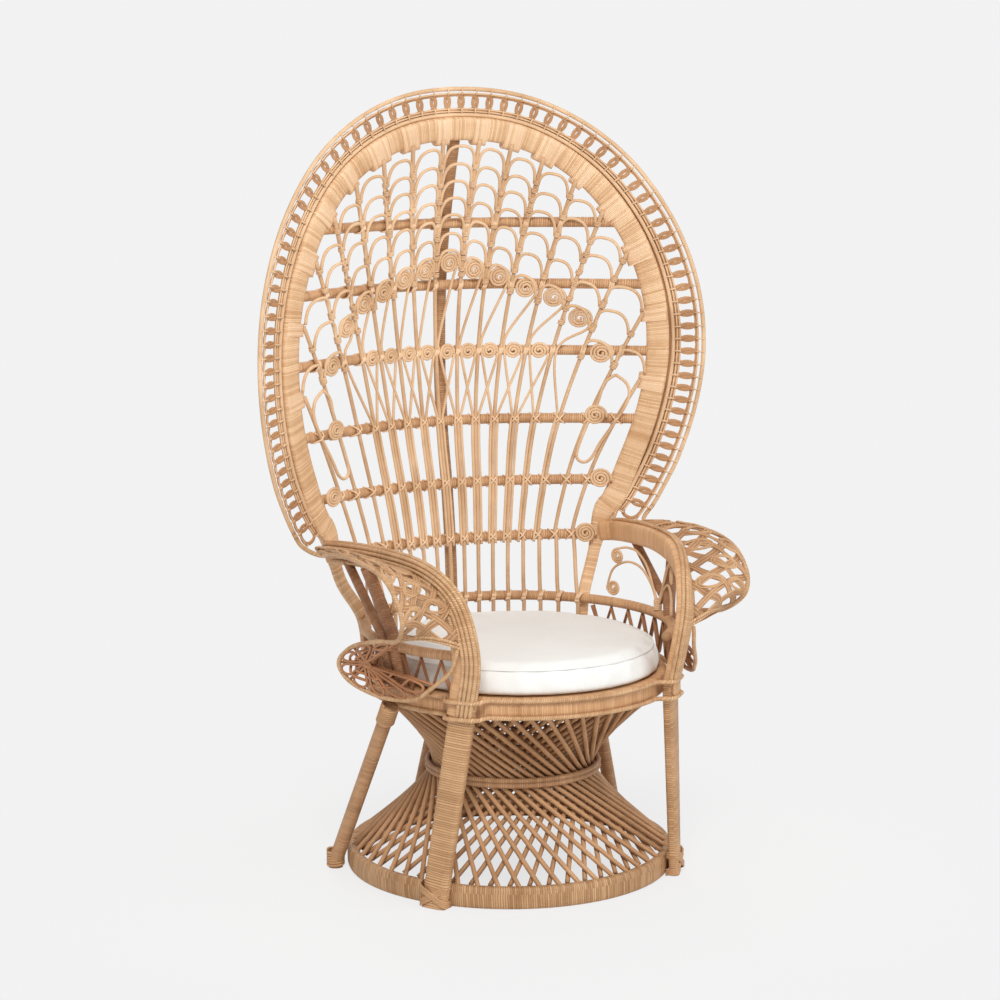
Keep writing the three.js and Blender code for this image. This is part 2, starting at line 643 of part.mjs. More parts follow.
function buildArms() {
  const place = ([x, y, z]) => new THREE.Vector3(x * armSpread, y * armReach, z * armHeight);
  const outward = (p) => p.clone().sub(seatCentre).setZ(0).normalize();
  const radial = (points) => (i) => outward(points[i]);
  const armLine = new THREE.CatmullRomCurve3(armRoute.map(place));
  const edgeLine = new THREE.CatmullRomCurve3(rollEdgeRoute.map(place));
  const both = (name, geometry, material) => {
    piece(`${name}_right`, geometry, material);
    piece(`${name}_left`, mirrored(geometry), material);
  };

  const foot = polar(frontFootAngle, baseRadius + armThickness / 2 + frontFootGap, 0, 0);
  const frame = [...armLine.getPoints(20), foot.clone().setZ(footHeight), foot];
  both('arm_frame', sweep(frame, polygon(6, armWidth / 2, armThickness / 2), radial(frame)), wrapped);
  const edge = edgeLine.getPoints(28);
  both('arm_roll_edge', cane(edge, rollEdgeRadius, radial(edge), 5), rattan);

  // The roll's open weave spans from the outer face of the arm frame to its edge cane.
  const lift = (armThickness * flat(6) + weaveThickness) / 2 + layGap + clearance;
  const onRoll = (u, v) => {
    const inner = armLine.getPoint(u * rollArmShare);
    inner.addScaledVector(outward(inner), lift);
    const p = inner.clone().lerp(edgeLine.getPoint(u * rollNeck), v * rollRimShare);
    const swell = upward.clone().add(outward(p)).normalize();
    return p.addScaledVector(swell, weaveBulge * Math.sin(Math.PI * v));
  };
  const rollAt = (u, v) => {
    const point = onRoll(u, v);
    const alongArm = onRoll(Math.min(u + sample, 1), v).sub(onRoll(Math.max(u - sample, 0), v));
    const acrossArm = onRoll(u, Math.min(v + sample, 1)).sub(onRoll(u, Math.max(v - sample, 0)));
    return { point, out: alongArm.cross(acrossArm).normalize() };
  };
  both('arm_roll_weave', net(rollAt, weaveAlongCount, weaveAcrossCount, weaveThickness, weaveOpenShare), shaded);

  // The loop below the roll is filled like a web round a hub.
  const hub = place(loopHub);
  const loopAt = (u, v) => {
    const rim = edgeLine.getPoint(rollNeck + (1 - rollNeck) * u);
    const point = hub.clone().lerp(rim, loopHubShare + (loopRimShare - loopHubShare) * v);
    return { point, out: outward(point) };
  };
  both('arm_loop_web', net(loopAt, loopCellCount, 1, weaveThickness, loopOpenShare), shaded);

  const onPanel = ([angle, rise]) =>
    polar(angle, panelRadius, -seatForward, panelBottom + (panelTop - panelBottom) * rise);
  const coils = panelCoils.map(onPanel).map((centre) => coilAt(centre, panelCoilRadius, outward(centre)));
  const routes = [[panelUpperRoute, panelUpperSteps], [panelLowerRoute, panelLowerSteps]];
  const lines = routes.map(([route, count]) => {
    const line = smooth(route.map(onPanel), count);
    return cane(line, panelCaneRadius, radial(line), 4);
  });
  both('arm_panel', joined([...lines, ...coils]), rattan);

  const standing = armPostRoute.map(([angle, out, z]) => polar(angle, out, -seatForward, z));
  both('arm_post', cane(standing, armPostRadius, forwards, 6), shaded);
  const lacingLow = seatTop + spokeRadius * flat(4) + clearance;
  const lacingHigh = seatRailHeight - seatRailRadius - spokeRadius * flat(4) - clearance;
  const lacing = between(seatRailStart, lacingEnd, lacingTurnCount)
    .map((angle, i) => polar(angle, lacingRound, -seatForward, i % 2 ? lacingLow : lacingHigh));
  both('seat_lacing', cane(lacing, spokeRadius, radial(lacing), 4), shaded);
}

export default chair;
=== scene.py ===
import math

import bpy
import numpy as np
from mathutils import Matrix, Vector


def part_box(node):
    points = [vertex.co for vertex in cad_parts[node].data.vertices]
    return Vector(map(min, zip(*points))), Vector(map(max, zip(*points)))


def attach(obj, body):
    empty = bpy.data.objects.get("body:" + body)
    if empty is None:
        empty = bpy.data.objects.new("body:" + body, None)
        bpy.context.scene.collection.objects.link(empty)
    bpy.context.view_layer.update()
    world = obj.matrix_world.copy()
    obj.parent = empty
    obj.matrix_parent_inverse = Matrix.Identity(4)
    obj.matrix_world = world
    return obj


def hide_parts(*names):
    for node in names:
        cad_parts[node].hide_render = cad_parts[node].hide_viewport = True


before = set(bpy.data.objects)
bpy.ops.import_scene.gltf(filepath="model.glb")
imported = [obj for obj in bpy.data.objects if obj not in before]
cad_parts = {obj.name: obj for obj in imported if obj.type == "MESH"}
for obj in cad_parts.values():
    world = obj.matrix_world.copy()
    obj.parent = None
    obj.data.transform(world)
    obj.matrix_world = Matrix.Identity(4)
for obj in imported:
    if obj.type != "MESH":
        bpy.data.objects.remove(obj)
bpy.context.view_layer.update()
mm = 0.001
baseLow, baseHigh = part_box("base_hoop")
middleY = (baseLow.y + baseHigh.y) / 2  # the base stands round this place
print("frame loaded")

# Makers of shader nodes


# Gives a node's inputs their values, or links other nodes' outputs to them.
def setInputs(tree, made, inputs):
    for key, value in inputs.items():
        if isinstance(value, (int, float, tuple)):
            made.inputs[key].default_value = value
        else:
            tree.links.new(value, made.inputs[key])
    return made


def addNode(tree, kind, inputs=None, **values):
    made = tree.nodes.new("ShaderNode" + kind)
    for key, value in values.items():
        setattr(made, key, value)
    return setInputs(tree, made, inputs or {})


def sums(tree, operation, *values):
    return addNode(tree, "Math", dict(enumerate(values)), operation=operation).outputs[0]


def grey(level):
    return (level, level, level, 1)


def newMaterial(name):
    material = bpy.data.materials.new(name)
    material.use_nodes = True
    return material, material.node_tree


# The camera and the stage

view = {
    "place": (-2.0965, -4.4352, 1.5171), "aim": (-0.0167, 0.0079, 0.7158), "lens": 93.05, "sensor": 36,
    "far": 60,
}
studio = {
    "paper": 0.89, "world": 0.55, "sky": (0.98, 0.99, 1, 1), "floor": 0.88, "floorSize": 30,
    "shadowShare": 0.2, "shadowStart": 0.3, "shadowEnd": 1.1, "lampAim": (0, 0, 0.7),
    # Each lamp's name, place, size, watts and tint
    "lamps": [
        ("keyLamp", (-1.6, -3.4, 4.0), 1.8, 152, (1, 0.99, 0.975)),
        ("fillLamp", (3.2, -2.6, 2.2), 2.6, 40, (1, 1, 1)),
        ("backLamp", (0.6, 3.2, 3.2), 2.4, 40, (1, 1, 1)),
    ],
}


def clearSelection():
    if bpy.context.object and bpy.context.object.mode != "OBJECT":
        bpy.ops.object.mode_set(mode="OBJECT")
    bpy.ops.object.select_all(action="DESELECT")


def makeActive(piece):
    clearSelection()
    piece.select_set(True)
    bpy.context.view_layer.objects.active = piece


def turnTo(place, aim):
    return (Vector(aim) - Vector(place)).to_track_quat("-Z", "Y").to_euler()


def placeCamera():
    place, aim = [Vector(view[key]) + Vector((0, middleY, 0)) for key in ("place", "aim")]
    clearSelection()
    bpy.ops.object.camera_add(location=place, rotation=turnTo(place, aim))
    camera = bpy.context.object
    camera.data.lens = view["lens"]
    camera.data.sensor_width = view["sensor"]
    camera.data.clip_end = view["far"]
    bpy.context.scene.camera = camera


def softLamp(name, place, size, watts, tint):
    clearSelection()
    bpy.ops.object.light_add(type="AREA", location=place, rotation=turnTo(place, studio["lampAim"]))
    lamp = bpy.context.object
    lamp.name = name
    lamp.data.shape = "DISK"
    lamp.data.size = size
    lamp.data.energy = watts
    lamp.data.color = tint


def lightStudio():
    world = bpy.data.worlds.new("studioWorld")
    bpy.context.scene.world = world
    world.use_nodes = True
    tree = world.node_tree
    tree.nodes.clear()
    seen = addNode(tree, "Background", {"Color": grey(studio["paper"])}).outputs[0]
    lit = addNode(tree, "Background", {"Color": studio["sky"], "Strength": studio["world"]}).outputs[0]
    seenRay = addNode(tree, "LightPath").outputs["Is Camera Ray"]
    pick = addNode(tree, "MixShader", {"Fac": seenRay, 1: lit, 2: seen})
    addNode(tree, "OutputWorld", {"Surface": pick.outputs[0]})
    for lamp in studio["lamps"]:
        softLamp(*lamp)


def makeFloor():
    clearSelection()
    bpy.ops.mesh.primitive_plane_add(size=studio["floorSize"])
    floor = bpy.context.object
    floor.name = "studioFloor"
    material, tree = newMaterial("paperFloor")
    tree.nodes.clear()
    paper = addNode(tree, "BsdfDiffuse", {"Color": grey(studio["floor"])}).outputs[0]
    glow = addNode(tree, "Emission", {"Color": grey(studio["paper"])}).outputs[0]
    place = addNode(tree, "TexCoord").outputs["Object"]
    far = addNode(tree, "VectorMath", {0: place}, operation="LENGTH").outputs["Value"]
    fade = {"Value": far, "From Min": studio["shadowStart"], "From Max": studio["shadowEnd"],
            "To Min": 1 - studio["shadowShare"], "To Max": 1}
    near = addNode(tree, "MapRange", fade, interpolation_type="SMOOTHSTEP").outputs[0]
    seenRay = addNode(tree, "LightPath").outputs["Is Camera Ray"]
    mix = addNode(tree, "MixShader", {"Fac": sums(tree, "MULTIPLY", seenRay, near), 1: paper, 2: glow})
    addNode(tree, "OutputMaterial", {"Surface": mix.outputs[0]})
    floor.data.materials.append(material)


placeCamera()
lightStudio()
makeFloor()
bpy.context.scene.view_settings.view_transform = "Standard"
print("camera and studio ready")

# Lines that the canes follow, in millimetres round the base's middle, +Z up, sitter facing -Y

seat = {
    "forward": 42, "radius": 286, "bottom": 362, "height": 40, "thickness": 24, "edgeCane": 4.3,
    "edgeInset": 4, "postAngle": 45, "overPost": 30, "overPostReach": 8.5, "overPostEase": 3.5,
    "deckThick": 7, "legGap": 8.4,
}
seatTop = seat["bottom"] + seat["height"]
railHeights = [1232, 1108, 973, 834, 709, 598]
backShape = {
    "crown": 1500, "foot": 450, "depth": 280, "bow": [0.87, 0.975, 0.94, 0.88, 0.79],
    "dishReach": 360, "dishDepth": 102, "dishTaper": 0.2,
    "hollow": 50, "hollowFoot": 690, "hollowTop": 1420,
    "hoopCentre": 950, "hoopRise": 470.6, "hoopEnd": 136, "bandWidth": 46,
    "hoopShares": [1, 1, 0.974, 0.925, 0.88, 0.848, 0.838, 0.86, 0.92],
}
fan = {
    "topAngles": [5, 14, 23.5, 34, 45, 58, 76, 96], "spacing": 29, "power": 1.5, "radius": 4, "forward": 13.1,
    "railRadius": 10.2, "railOverlap": 7, "seatRail": 478, "ringRadius": 281.4, "topOverlap": 6,
    "thickFrom": 1120, "thickOver": 60, "thicker": 0.1,
}
# Spokes count out from the middle, 1 to 8, with a minus sign on the sitter's right side.
spokes = [n * side for n in range(1, 9) for side in (-1, 1)]


def within(value, low=0, high=1):
    return min(max(value, low), high)


# A smooth value between b and c, a share f of the way, with their neighbours a and d.
def eased(a, b, c, d, f):
    return b + 0.5 * f * (c - a + f * (2 * a - 5 * b + 4 * c - d + f * (3 * (b - c) + d - a)))


def through(values, t):
    last = len(values) - 1
    place = within(t) * last
    i = min(int(place), last - 1)
    return eased(*[values[within(k, 0, last)] for k in (i - 1, i, i + 1, i + 2)], place - i)


def backY(x, z):
    s = backShape
    share = (z - s["foot"]) / (s["crown"] - s["foot"])
    dish = s["dishDepth"] * (1 + s["dishTaper"] * (0.5 - share)) * (x / s["dishReach"]) ** 2
    across = max(1 - (x / s["dishReach"]) ** 2, 0) ** 2
    rise = within((z - s["hollowFoot"]) / (s["hollowTop"] - s["hollowFoot"]))
    return s["depth"] * through(s["bow"], share) - dish + s["hollow"] * across * math.sin(math.pi * rise)


def backNormal(x, z):
    slopeX = (backY(x + 1, z) - backY(x - 1, z)) / 2
    slopeZ = (backY(x, z + 1) - backY(x, z - 1)) / 2
    normal = np.array([slopeX, -1, slopeZ])
    return normal / np.linalg.norm(normal)


def onBack(x, z, forward=0):
    return np.array([x, backY(x, z), z]) + backNormal(x, z) * forward


def hoopPlane(angle):
    r = backShape["hoopRise"] * through(backShape["hoopShares"], abs(angle) / backShape["hoopEnd"])
    a = math.radians(angle)
    return np.array([r * math.sin(a), backShape["hoopCentre"] + r * math.cos(a)])


def hoopPoint(angle, outward=0, forward=0):
    end = backShape["hoopEnd"]
    along = hoopPlane(min(angle + 1, end)) - hoopPlane(max(angle - 1, -end))
    along /= np.linalg.norm(along)
    p = hoopPlane(angle) + outward * np.array([-along[1], along[0]])
    return onBack(p[0], p[1], forward)


def polar(angle, radius, z, centreY=0):
    a = math.radians(angle)
    return np.array([radius * math.cos(a), centreY + radius * math.sin(a), z])


def seatPolar(angle, radius, z):
    return polar(angle, radius, z, -seat["forward"])


def spokeX(k, z):
    side = 1 if k > 0 else -1
    n = abs(k) - 1
    top = hoopPoint(fan["topAngles"][n], -backShape["bandWidth"] / 2 - fan["radius"])
    foot = fan["spacing"] * (n + 0.5)
    share = max(z - fan["seatRail"], 0) / (top[2] - fan["seatRail"])
    return side * (foot + (top[0] - foot) * share ** fan["power"])


def spokeTop(k):
    return hoopPoint(fan["topAngles"][abs(k) - 1], -backShape["bandWidth"] / 2)[2]


def spokePoint(k, z, forward=fan["forward"]):
    x = spokeX(k, z)
    knee = railHeights[-1]
    if z >= knee:
        return onBack(x, z, forward)
    onRing = math.sqrt(fan["ringRadius"] ** 2 - x ** 2) - seat["forward"]
    kneeY = onBack(spokeX(k, knee), knee, forward)[1]
    share = max(z - fan["seatRail"], 0) / (knee - fan["seatRail"])
    return np.array([x, onRing + (kneeY - onRing) * share, z])


def runAlong(line):
    return np.concatenate([[0], np.cumsum(np.linalg.norm(np.diff(line, axis=0), axis=1))])


def evenly(line, spacing):
    line = np.asarray(line, float)
    run = runAlong(line)
    marks = np.linspace(0, run[-1], max(int(round(run[-1] / spacing)), 2) + 1)
    return np.stack([np.interp(marks, run, line[:, k]) for k in range(3)], axis=1)


def smoothLine(points, spacing):
    points = np.asarray(points, float)
    last = len(points) - 1
    dense = []
    for i in range(last):
        four = [points[within(k, 0, last)] for k in (i - 1, i, i + 1, i + 2)]
        dense += [eased(*four, f) for f in np.linspace(0, 1, 16, endpoint=False)]
    return evenly(dense + [points[-1]], spacing)


def lineLength(line):
    return float(np.linalg.norm(np.diff(line, axis=0), axis=1).sum())


def toFrame(line):
    return np.asarray(line, float) * mm + np.array([0, middleY, 0])


# Makers of canes and bands. In their UV maps U is metres round or across, V metres along.


def finishMesh(piece):
    makeActive(piece)
    bpy.ops.object.mode_set(mode="EDIT")
    bpy.ops.mesh.select_all(action="SELECT")
    bpy.ops.mesh.remove_doubles(threshold=0.00002)
    bpy.ops.mesh.normals_make_consistent(inside=False)
    bpy.ops.object.mode_set(mode="OBJECT")


def bendCanes(name, lines, radius, sides=8, closed=False, radii=None):
    clearSelection()
    bpy.ops.curve.primitive_nurbs_path_add()
    cane = bpy.context.object
    cane.name = name
    cane.data.splines.clear()
    for i, line in enumerate(lines):
        points = toFrame(line)
        spline = cane.data.splines.new("POLY")
        spline.points.add(len(points) - 1)
        spline.points.foreach_set("co", np.c_[points, np.ones(len(points))].ravel())
        spline.use_cyclic_u = closed
        if radii is not None:
            spline.points.foreach_set("radius", radii[i])
    cane.data.bevel_depth = radius * mm
    cane.data.bevel_resolution = (sides - 4) // 2
    cane.data.use_fill_caps = True
    cane.data.twist_mode = "MINIMUM"
    bpy.ops.object.convert(target="MESH")
    cane = bpy.context.object
    layer = cane.data.uv_layers[0].data
    uv = np.zeros(len(layer) * 2)
    layer.foreach_get("uv", uv)
    along = np.mean([lineLength(line) for line in lines]) * mm
    uv = uv.reshape(-1, 2)[:, ::-1] * [2 * math.pi * radius * mm, along]  # the curve's own U runs along it
    layer.foreach_set("uv", uv.ravel())
    finishMesh(cane)
    bpy.ops.object.shade_smooth()
    return cane


def roundedOutline(width, depth, corner=0.5, count=20):
    outline = []
    power = 1 - corner
    for i in range(count):
        a = 2 * math.pi * (i + 0.5) / count
        c, s = math.cos(a), math.sin(a)
        x = width / 2 * math.copysign(abs(c) ** power, c)
        outline.append((x, depth / 2 * math.copysign(abs(s) ** power, s)))
    return outline


# The way along a line at one of its points, the way across it, and the way that it faces.
def sectionAxes(line, i, facing, closed=False):
    n = len(line)
    before = line[i - 1] if (i or closed) else line[0]
    after = line[(i + 1) % n] if (i < n - 1 or closed) else line[n - 1]
    along = (after - before) / np.linalg.norm(after - before)
    up = np.array(facing(line[i]), float)
    up -= along * up.dot(along)
    up /= np.linalg.norm(up)
    return along, np.cross(along, up), up


def beside(line, facing, across, out):
    moved = []
    for i in range(len(line)):
        _, side, up = sectionAxes(line, i, facing)
        moved.append(line[i] + side * across + up * out)
    return moved


# Turns of cane bound round a straight stretch from one point to another.
def boundTurns(start, end, radius, pitch, steps=10):
    start, end = np.asarray(start, float), np.asarray(end, float)
    run = np.linalg.norm(end - start)
    along = (end - start) / run
    first = np.cross(along, [0.3, -1, 0.1])  # any way that no bound piece runs along
    first /= np.linalg.norm(first)
    second = np.cross(along, first)
    turns = max(run / pitch, 1)
    marks = np.linspace(0, 1, int(turns * steps) + 1)
    angles = marks * turns * 2 * math.pi
    return [start + (end - start) * m + (first * math.cos(a) + second * math.sin(a)) * radius
            for m, a in zip(marks, angles)]


# Sweeps flat outlines along lines. facing(point) is the way that an outline's second axis looks.
def layBands(name, lines, facing, outline, closed=False, scales=None):
    outline = np.array(outline)
    sides = len(outline)
    edge = np.linalg.norm(np.roll(outline, -1, axis=0) - outline, axis=1)
    around = np.concatenate([[0], np.cumsum(edge)]) * mm
    points, faces, uvs = [], [], []
    for line in lines:
        line = np.asarray(line, float)
        n = len(line)
        start = len(points)
        run = runAlong(line) * mm
        for i in range(n):
            _, across, up = sectionAxes(line, i, facing, closed)
            wider, thicker = scales[i] if scales is not None else (1, 1)
            points += [line[i] + across * u * wider + up * v * thicker for u, v in outline]
        for i in range(n if closed else n - 1):
            here, there = start + i * sides, start + (i + 1) % n * sides
            top = run[i + 1] if i < n - 1 else run[i] + run[1]
            for k in range(sides):
                m = (k + 1) % sides
                faces.append((here + k, here + m, there + m, there + k))
                uvs += [(around[k], run[i]), (around[k + 1], run[i]), (around[k + 1], top), (around[k], top)]
        if not closed:
            for i in (0, n - 1):
                faces.append(tuple(start + i * sides + k for k in range(sides)))
                uvs += [(around[k], run[i]) for k in range(sides)]
    mesh = bpy.data.meshes.new(name)
    mesh.from_pydata(toFrame(points).tolist(), [], faces)
    layer = mesh.uv_layers.new(name="UVMap")
    layer.data.foreach_set("uv", np.array(uvs).ravel())
    piece = bpy.data.objects.new(name, mesh)
    bpy.context.scene.collection.objects.link(piece)
    finishMesh(piece)
    bpy.ops.object.shade_smooth_by_angle(angle=math.radians(50))
    return piece


def joinPieces(name, pieces):
    clearSelection()
    for piece in pieces:
        piece.select_set(True)
    bpy.context.view_layer.objects.active = pieces[0]
    bpy.ops.object.join()
    pieces[0].name = name
    return pieces[0]


# Materials. Lengths are in metres, and shares are of the way from the dark colour to the light one.

peel = {
    "wanderScale": 40, "wander": 0.004, "edgePower": 4.0, "deepPower": 3.0, "deep": 0.8, "leastDeep": 0.35,
}
grain = {
    "stretch": (900, 22, 1), "streakDetail": 3, "patchScale": 11, "patchDetail": 4, "patchRough": 0.6,
    "knotScale": 16, "knotInner": 0.06, "knotOuter": 0.16, "knotShade": -0.1225, "height": 0.25,
    "roughSpread": 0.2, "rough": 0.4, "bump": 0.8, "specular": 0.35,
}
# Light and dark colour, then the shares of patches and streaks, and the bump's depth
bareLooks = {
    "cane": ("#f4d2ac", "#b98d62", 1.3, 0.6, 0.0003),
    # A darker copy of the cane's colours: painted shade on the deck under the cushion and on the bindings at
    # the feet
    "caneInPaintedShade": ("#dcb084", "#976a43", 1.2, 0.5, 0.0003),
    "rods": ("#d9ab7e", "#916440", 1.1, 0.5, 0.0003),
    "spokeCane": ("#eac69e", "#a97d55", 1.3, 0.6, 0.0003),
    "tiePeel": ("#ffe4c2", "#d3a67a", 1.0, 0.5, 0.0003),
    "peelStrip": ("#ecc398", "#a0744a", 1.1, 0.6, 0.0005),
    # A darker copy of peelStrip for every other strand of the arms' rolls: painted shade
    "peelPaintedShade": ("#cfa277", "#83593a", 1.1, 0.6, 0.0005),
    # The lace peel's own brown, darkened further as painted shade on its rings that face aside; the sheet in
    # the groove behind the trim takes it too
    "lace": ("#d6a577", "#8a5c39", 1.0, 0.8, 0.0005),
    # Darker browns that paint the shade on the rosette under each roll; the seat lacing takes them too
    "stripPaintedShade": ("#cc9264", "#87553a", 1.0, 0.6, 0.0005),
}
# The same five, then the width of a turn of peel, its slant, and the shares of the turns' shades and seams
wrapLooks = {
    "caneWrap": ("#f3cca0", "#a97b50", 0.9, 0.35, 0.0009, 0.0042, 0.3, 0.35, 1.0),
    # Darker colours that paint the shade on the poles behind the arms
    "poleWrapPaintedShade": ("#c9966b", "#80543a", 0.9, 0.35, 0.0008, 0.004, 0.05, 0.35, 0.8),
    "wrapped": ("#f8d5ad", "#c29264", 0.9, 0.35, 0.0005, 0.0034, 0.05, 0.55, 0.6),
    "lightWrap": ("#fbdcb8", "#d0a277", 0.7, 0.35, 0.0005, 0.0034, 0.05, 0.5, 0.55),
    "baseWrap": ("#dab186", "#966b43", 0.9, 0.35, 0.0009, 0.0042, 0.05, 0.55, 1.0),
    "seatWrap": ("#f6c99b", "#b27f51", 0.9, 0.35, 0.0007, 0.0031, 0.05, 0.4, 0.8),
    "wrappedPole": ("#efc193", "#a97a52", 0.9, 0.35, 0.0008, 0.0045, 0.05, 0.35, 0.9),
    "spineWrap": ("#dfb185", "#946843", 0.9, 0.35, 0.0009, 0.0042, 0.05, 0.35, 1.0),
    "fineWrap": ("#facfa0", "#bd895a", 0.9, 0.35, 0.0005, 0.0024, 0.05, 0.4, 0.8),
    "legWrap": ("#e8bc8f", "#9c7046", 0.9, 0.35, 0.001, 0.0046, 0.05, 0.35, 1.1),
}


def newGroup(name, inputs, outputs):
    tree = bpy.data.node_groups.new(name, "ShaderNodeTree")
    for label, kind in inputs.items():
        tree.interface.new_socket(name=label, in_out="INPUT", socket_type=kind)
    for label in outputs:
        tree.interface.new_socket(name=label, in_out="OUTPUT", socket_type="NodeSocketFloat")
    return tree, tree.nodes.new("NodeGroupInput").outputs, tree.nodes.new("NodeGroupOutput")


# Turns of peel laid side by side: a rounded height, a dark seam, and a shade for each turn.
def peelTurnsGroup():
    inputs = {"UV": "NodeSocketVector", "Pitch": "NodeSocketFloat", "Slant": "NodeSocketFloat"}
    tree, given, out = newGroup("peelTurns", inputs, ["Height", "Seam", "Shade"])
    parts = addNode(tree, "SeparateXYZ", {0: given["UV"]}).outputs
    noise = {"Scale": peel["wanderScale"], "W": parts["Y"]}
    wander = addNode(tree, "TexNoise", noise, noise_dimensions="1D").outputs["Fac"]
    drift = sums(tree, "MULTIPLY", wander, peel["wander"])
    slanted = sums(tree, "MULTIPLY_ADD", parts["X"], given["Slant"], parts["Y"])
    turns = sums(tree, "DIVIDE", sums(tree, "ADD", slanted, drift), given["Pitch"])
    centred = sums(tree, "ABSOLUTE", sums(tree, "MULTIPLY_ADD", sums(tree, "FRACT", turns), 2.0, -1.0))
    edge = sums(tree, "POWER", centred, peel["edgePower"])
    number = sums(tree, "FLOOR", turns)
    shade = addNode(tree, "TexWhiteNoise", {"W": number}, noise_dimensions="1D").outputs["Value"]
    deep = sums(tree, "POWER", shade, peel["deepPower"])
    deep = sums(tree, "MULTIPLY_ADD", deep, peel["deep"], peel["leastDeep"])
    seam = sums(tree, "MULTIPLY", edge, deep)
    setInputs(tree, out, {"Height": sums(tree, "SUBTRACT", 1.0, edge), "Seam": seam, "Shade": shade})
    return tree


# Fine streaks along a cane, its growth rings here and there, and slow patches of tone.
def caneGrainGroup():
    g = grain
    inputs = {"UV": "NodeSocketVector", "Place": "NodeSocketVector"}
    tree, given, out = newGroup("caneGrain", inputs, ["Streak", "Patch", "Knot"])
    fibres = addNode(tree, "VectorMath", {0: given["UV"], 1: g["stretch"]}, operation="MULTIPLY").outputs[0]
    streak = {"Scale": 1, "Detail": g["streakDetail"], "Vector": fibres}
    streak = addNode(tree, "TexNoise", streak).outputs["Fac"]
    patch = {"Scale": g["patchScale"], "Detail": g["patchDetail"], "Roughness": g["patchRough"]}
    patch = addNode(tree, "TexNoise", patch | {"Vector": given["Place"]}).outputs["Fac"]
    cells = {"Scale": g["knotScale"], "Vector": given["Place"]}
    cell = addNode(tree, "TexVoronoi", cells, feature="F1").outputs["Distance"]
    fade = {"Value": cell, "From Min": g["knotInner"], "From Max": g["knotOuter"], "To Min": 1, "To Max": 0}
    near = addNode(tree, "MapRange", fade, interpolation_type="SMOOTHSTEP").outputs[0]
    setInputs(tree, out, {"Streak": streak, "Patch": patch, "Knot": near})
    return tree


peelTurns = peelTurnsGroup()
caneGrain = caneGrainGroup()


def colour(hexCode):
    parts = [int(hexCode[i:i + 2], 16) / 255 for i in (1, 3, 5)]
    return tuple(c / 12.92 if c <= 0.04045 else ((c + 0.055) / 1.055) ** 2.4 for c in parts) + (1,)


# The shader's colour goes from dark to light with the shade. The rest are its other inputs.
def finishShader(tree, shade, light, dark, rest):
    colours = {"Factor": shade, "A": colour(dark), "B": colour(light)}
    mix = addNode(tree, "Mix", colours, data_type="RGBA", clamp_factor=True)
    setInputs(tree, tree.nodes["Principled BSDF"], rest | {"Base Color": mix.outputs["Result"]})


# A bare cane's finish, or with a pitch, that of a piece bound with turns of peel.
def rattanFinish(name, light, dark, patch, streak, depth, pitch=0, slant=0, turnShade=0, seam=0):
    material, tree = newMaterial(name)
    uv = addNode(tree, "UVMap", uv_map="UVMap").outputs[0]
    place = addNode(tree, "TexCoord").outputs["Object"]
    fibres = addNode(tree, "Group", {"UV": uv, "Place": place}, node_tree=caneGrain).outputs
    shade = sums(tree, "MULTIPLY_ADD", sums(tree, "SUBTRACT", fibres["Patch"], 0.5), patch, 0.5)
    shade = sums(tree, "MULTIPLY_ADD", sums(tree, "SUBTRACT", fibres["Streak"], 0.5), streak, shade)
    shade = sums(tree, "MULTIPLY_ADD", fibres["Knot"], grain["knotShade"], shade)
    height = sums(tree, "MULTIPLY", fibres["Streak"], grain["height"])
    if pitch:
        turns = {"UV": uv, "Pitch": pitch, "Slant": slant}
        turns = addNode(tree, "Group", turns, node_tree=peelTurns).outputs
        shade = sums(tree, "MULTIPLY_ADD", sums(tree, "SUBTRACT", turns["Shade"], 0.5), turnShade, shade)
        shade = sums(tree, "MULTIPLY_ADD", turns["Seam"], -seam, shade)
        height = sums(tree, "ADD", height, turns["Height"])
    bump = addNode(tree, "Bump", {"Distance": depth, "Strength": grain["bump"], "Height": height}).outputs[0]
    rough = sums(tree, "MULTIPLY_ADD", fibres["Streak"], grain["roughSpread"], grain["rough"])
    rest = {"Normal": bump, "Roughness": rough, "Specular IOR Level": grain["specular"]}
    finishShader(tree, shade, light, dark, rest)
    return material


finishes = {name: rattanFinish(name, *look) for name, look in (bareLooks | wrapLooks).items()}
print("finishes made")


def dress(piece, finish, slot, *nodes):
    piece.data.materials.clear()
    piece.data.materials.append(finishes[finish])
    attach(piece, "frame")
    if nodes:
        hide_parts(*nodes)


def layCanes(name, lines, radius, finish, slot, *nodes, **shape):
    dress(bendCanes(name, lines, radius, **shape), finish, slot, *nodes)


def facingSitter(p):
    return backNormal(p[0], max(p[2], backShape["foot"]))


def facingOut(p):
    out = np.array([p[0], p[1] + seat["forward"], 0])
    return out / np.linalg.norm(out)


def facingUp(p):
    return np.array([0, 0, 1.0])


def circle(radius, z, centreY=0):
    return [polar(i * 360 / 96, radius, z, centreY) for i in range(96)]


# The hourglass base

base = {
    "radius": 318, "hoopHeight": 42, "hoopThickness": 20, "rodCount": 50, "rodRadius": 4.6, "familyGap": 16,
    "waistRadius": 152, "waistHeight": 203, "waistForward": 15, "lowerTwist": 44, "upperTwist": 50,
    "waistCane": 5, "waistStandoff": 5.1, "rodOverlap": 4, "bendStart": 0.12, "bendCut": 0.03,
}


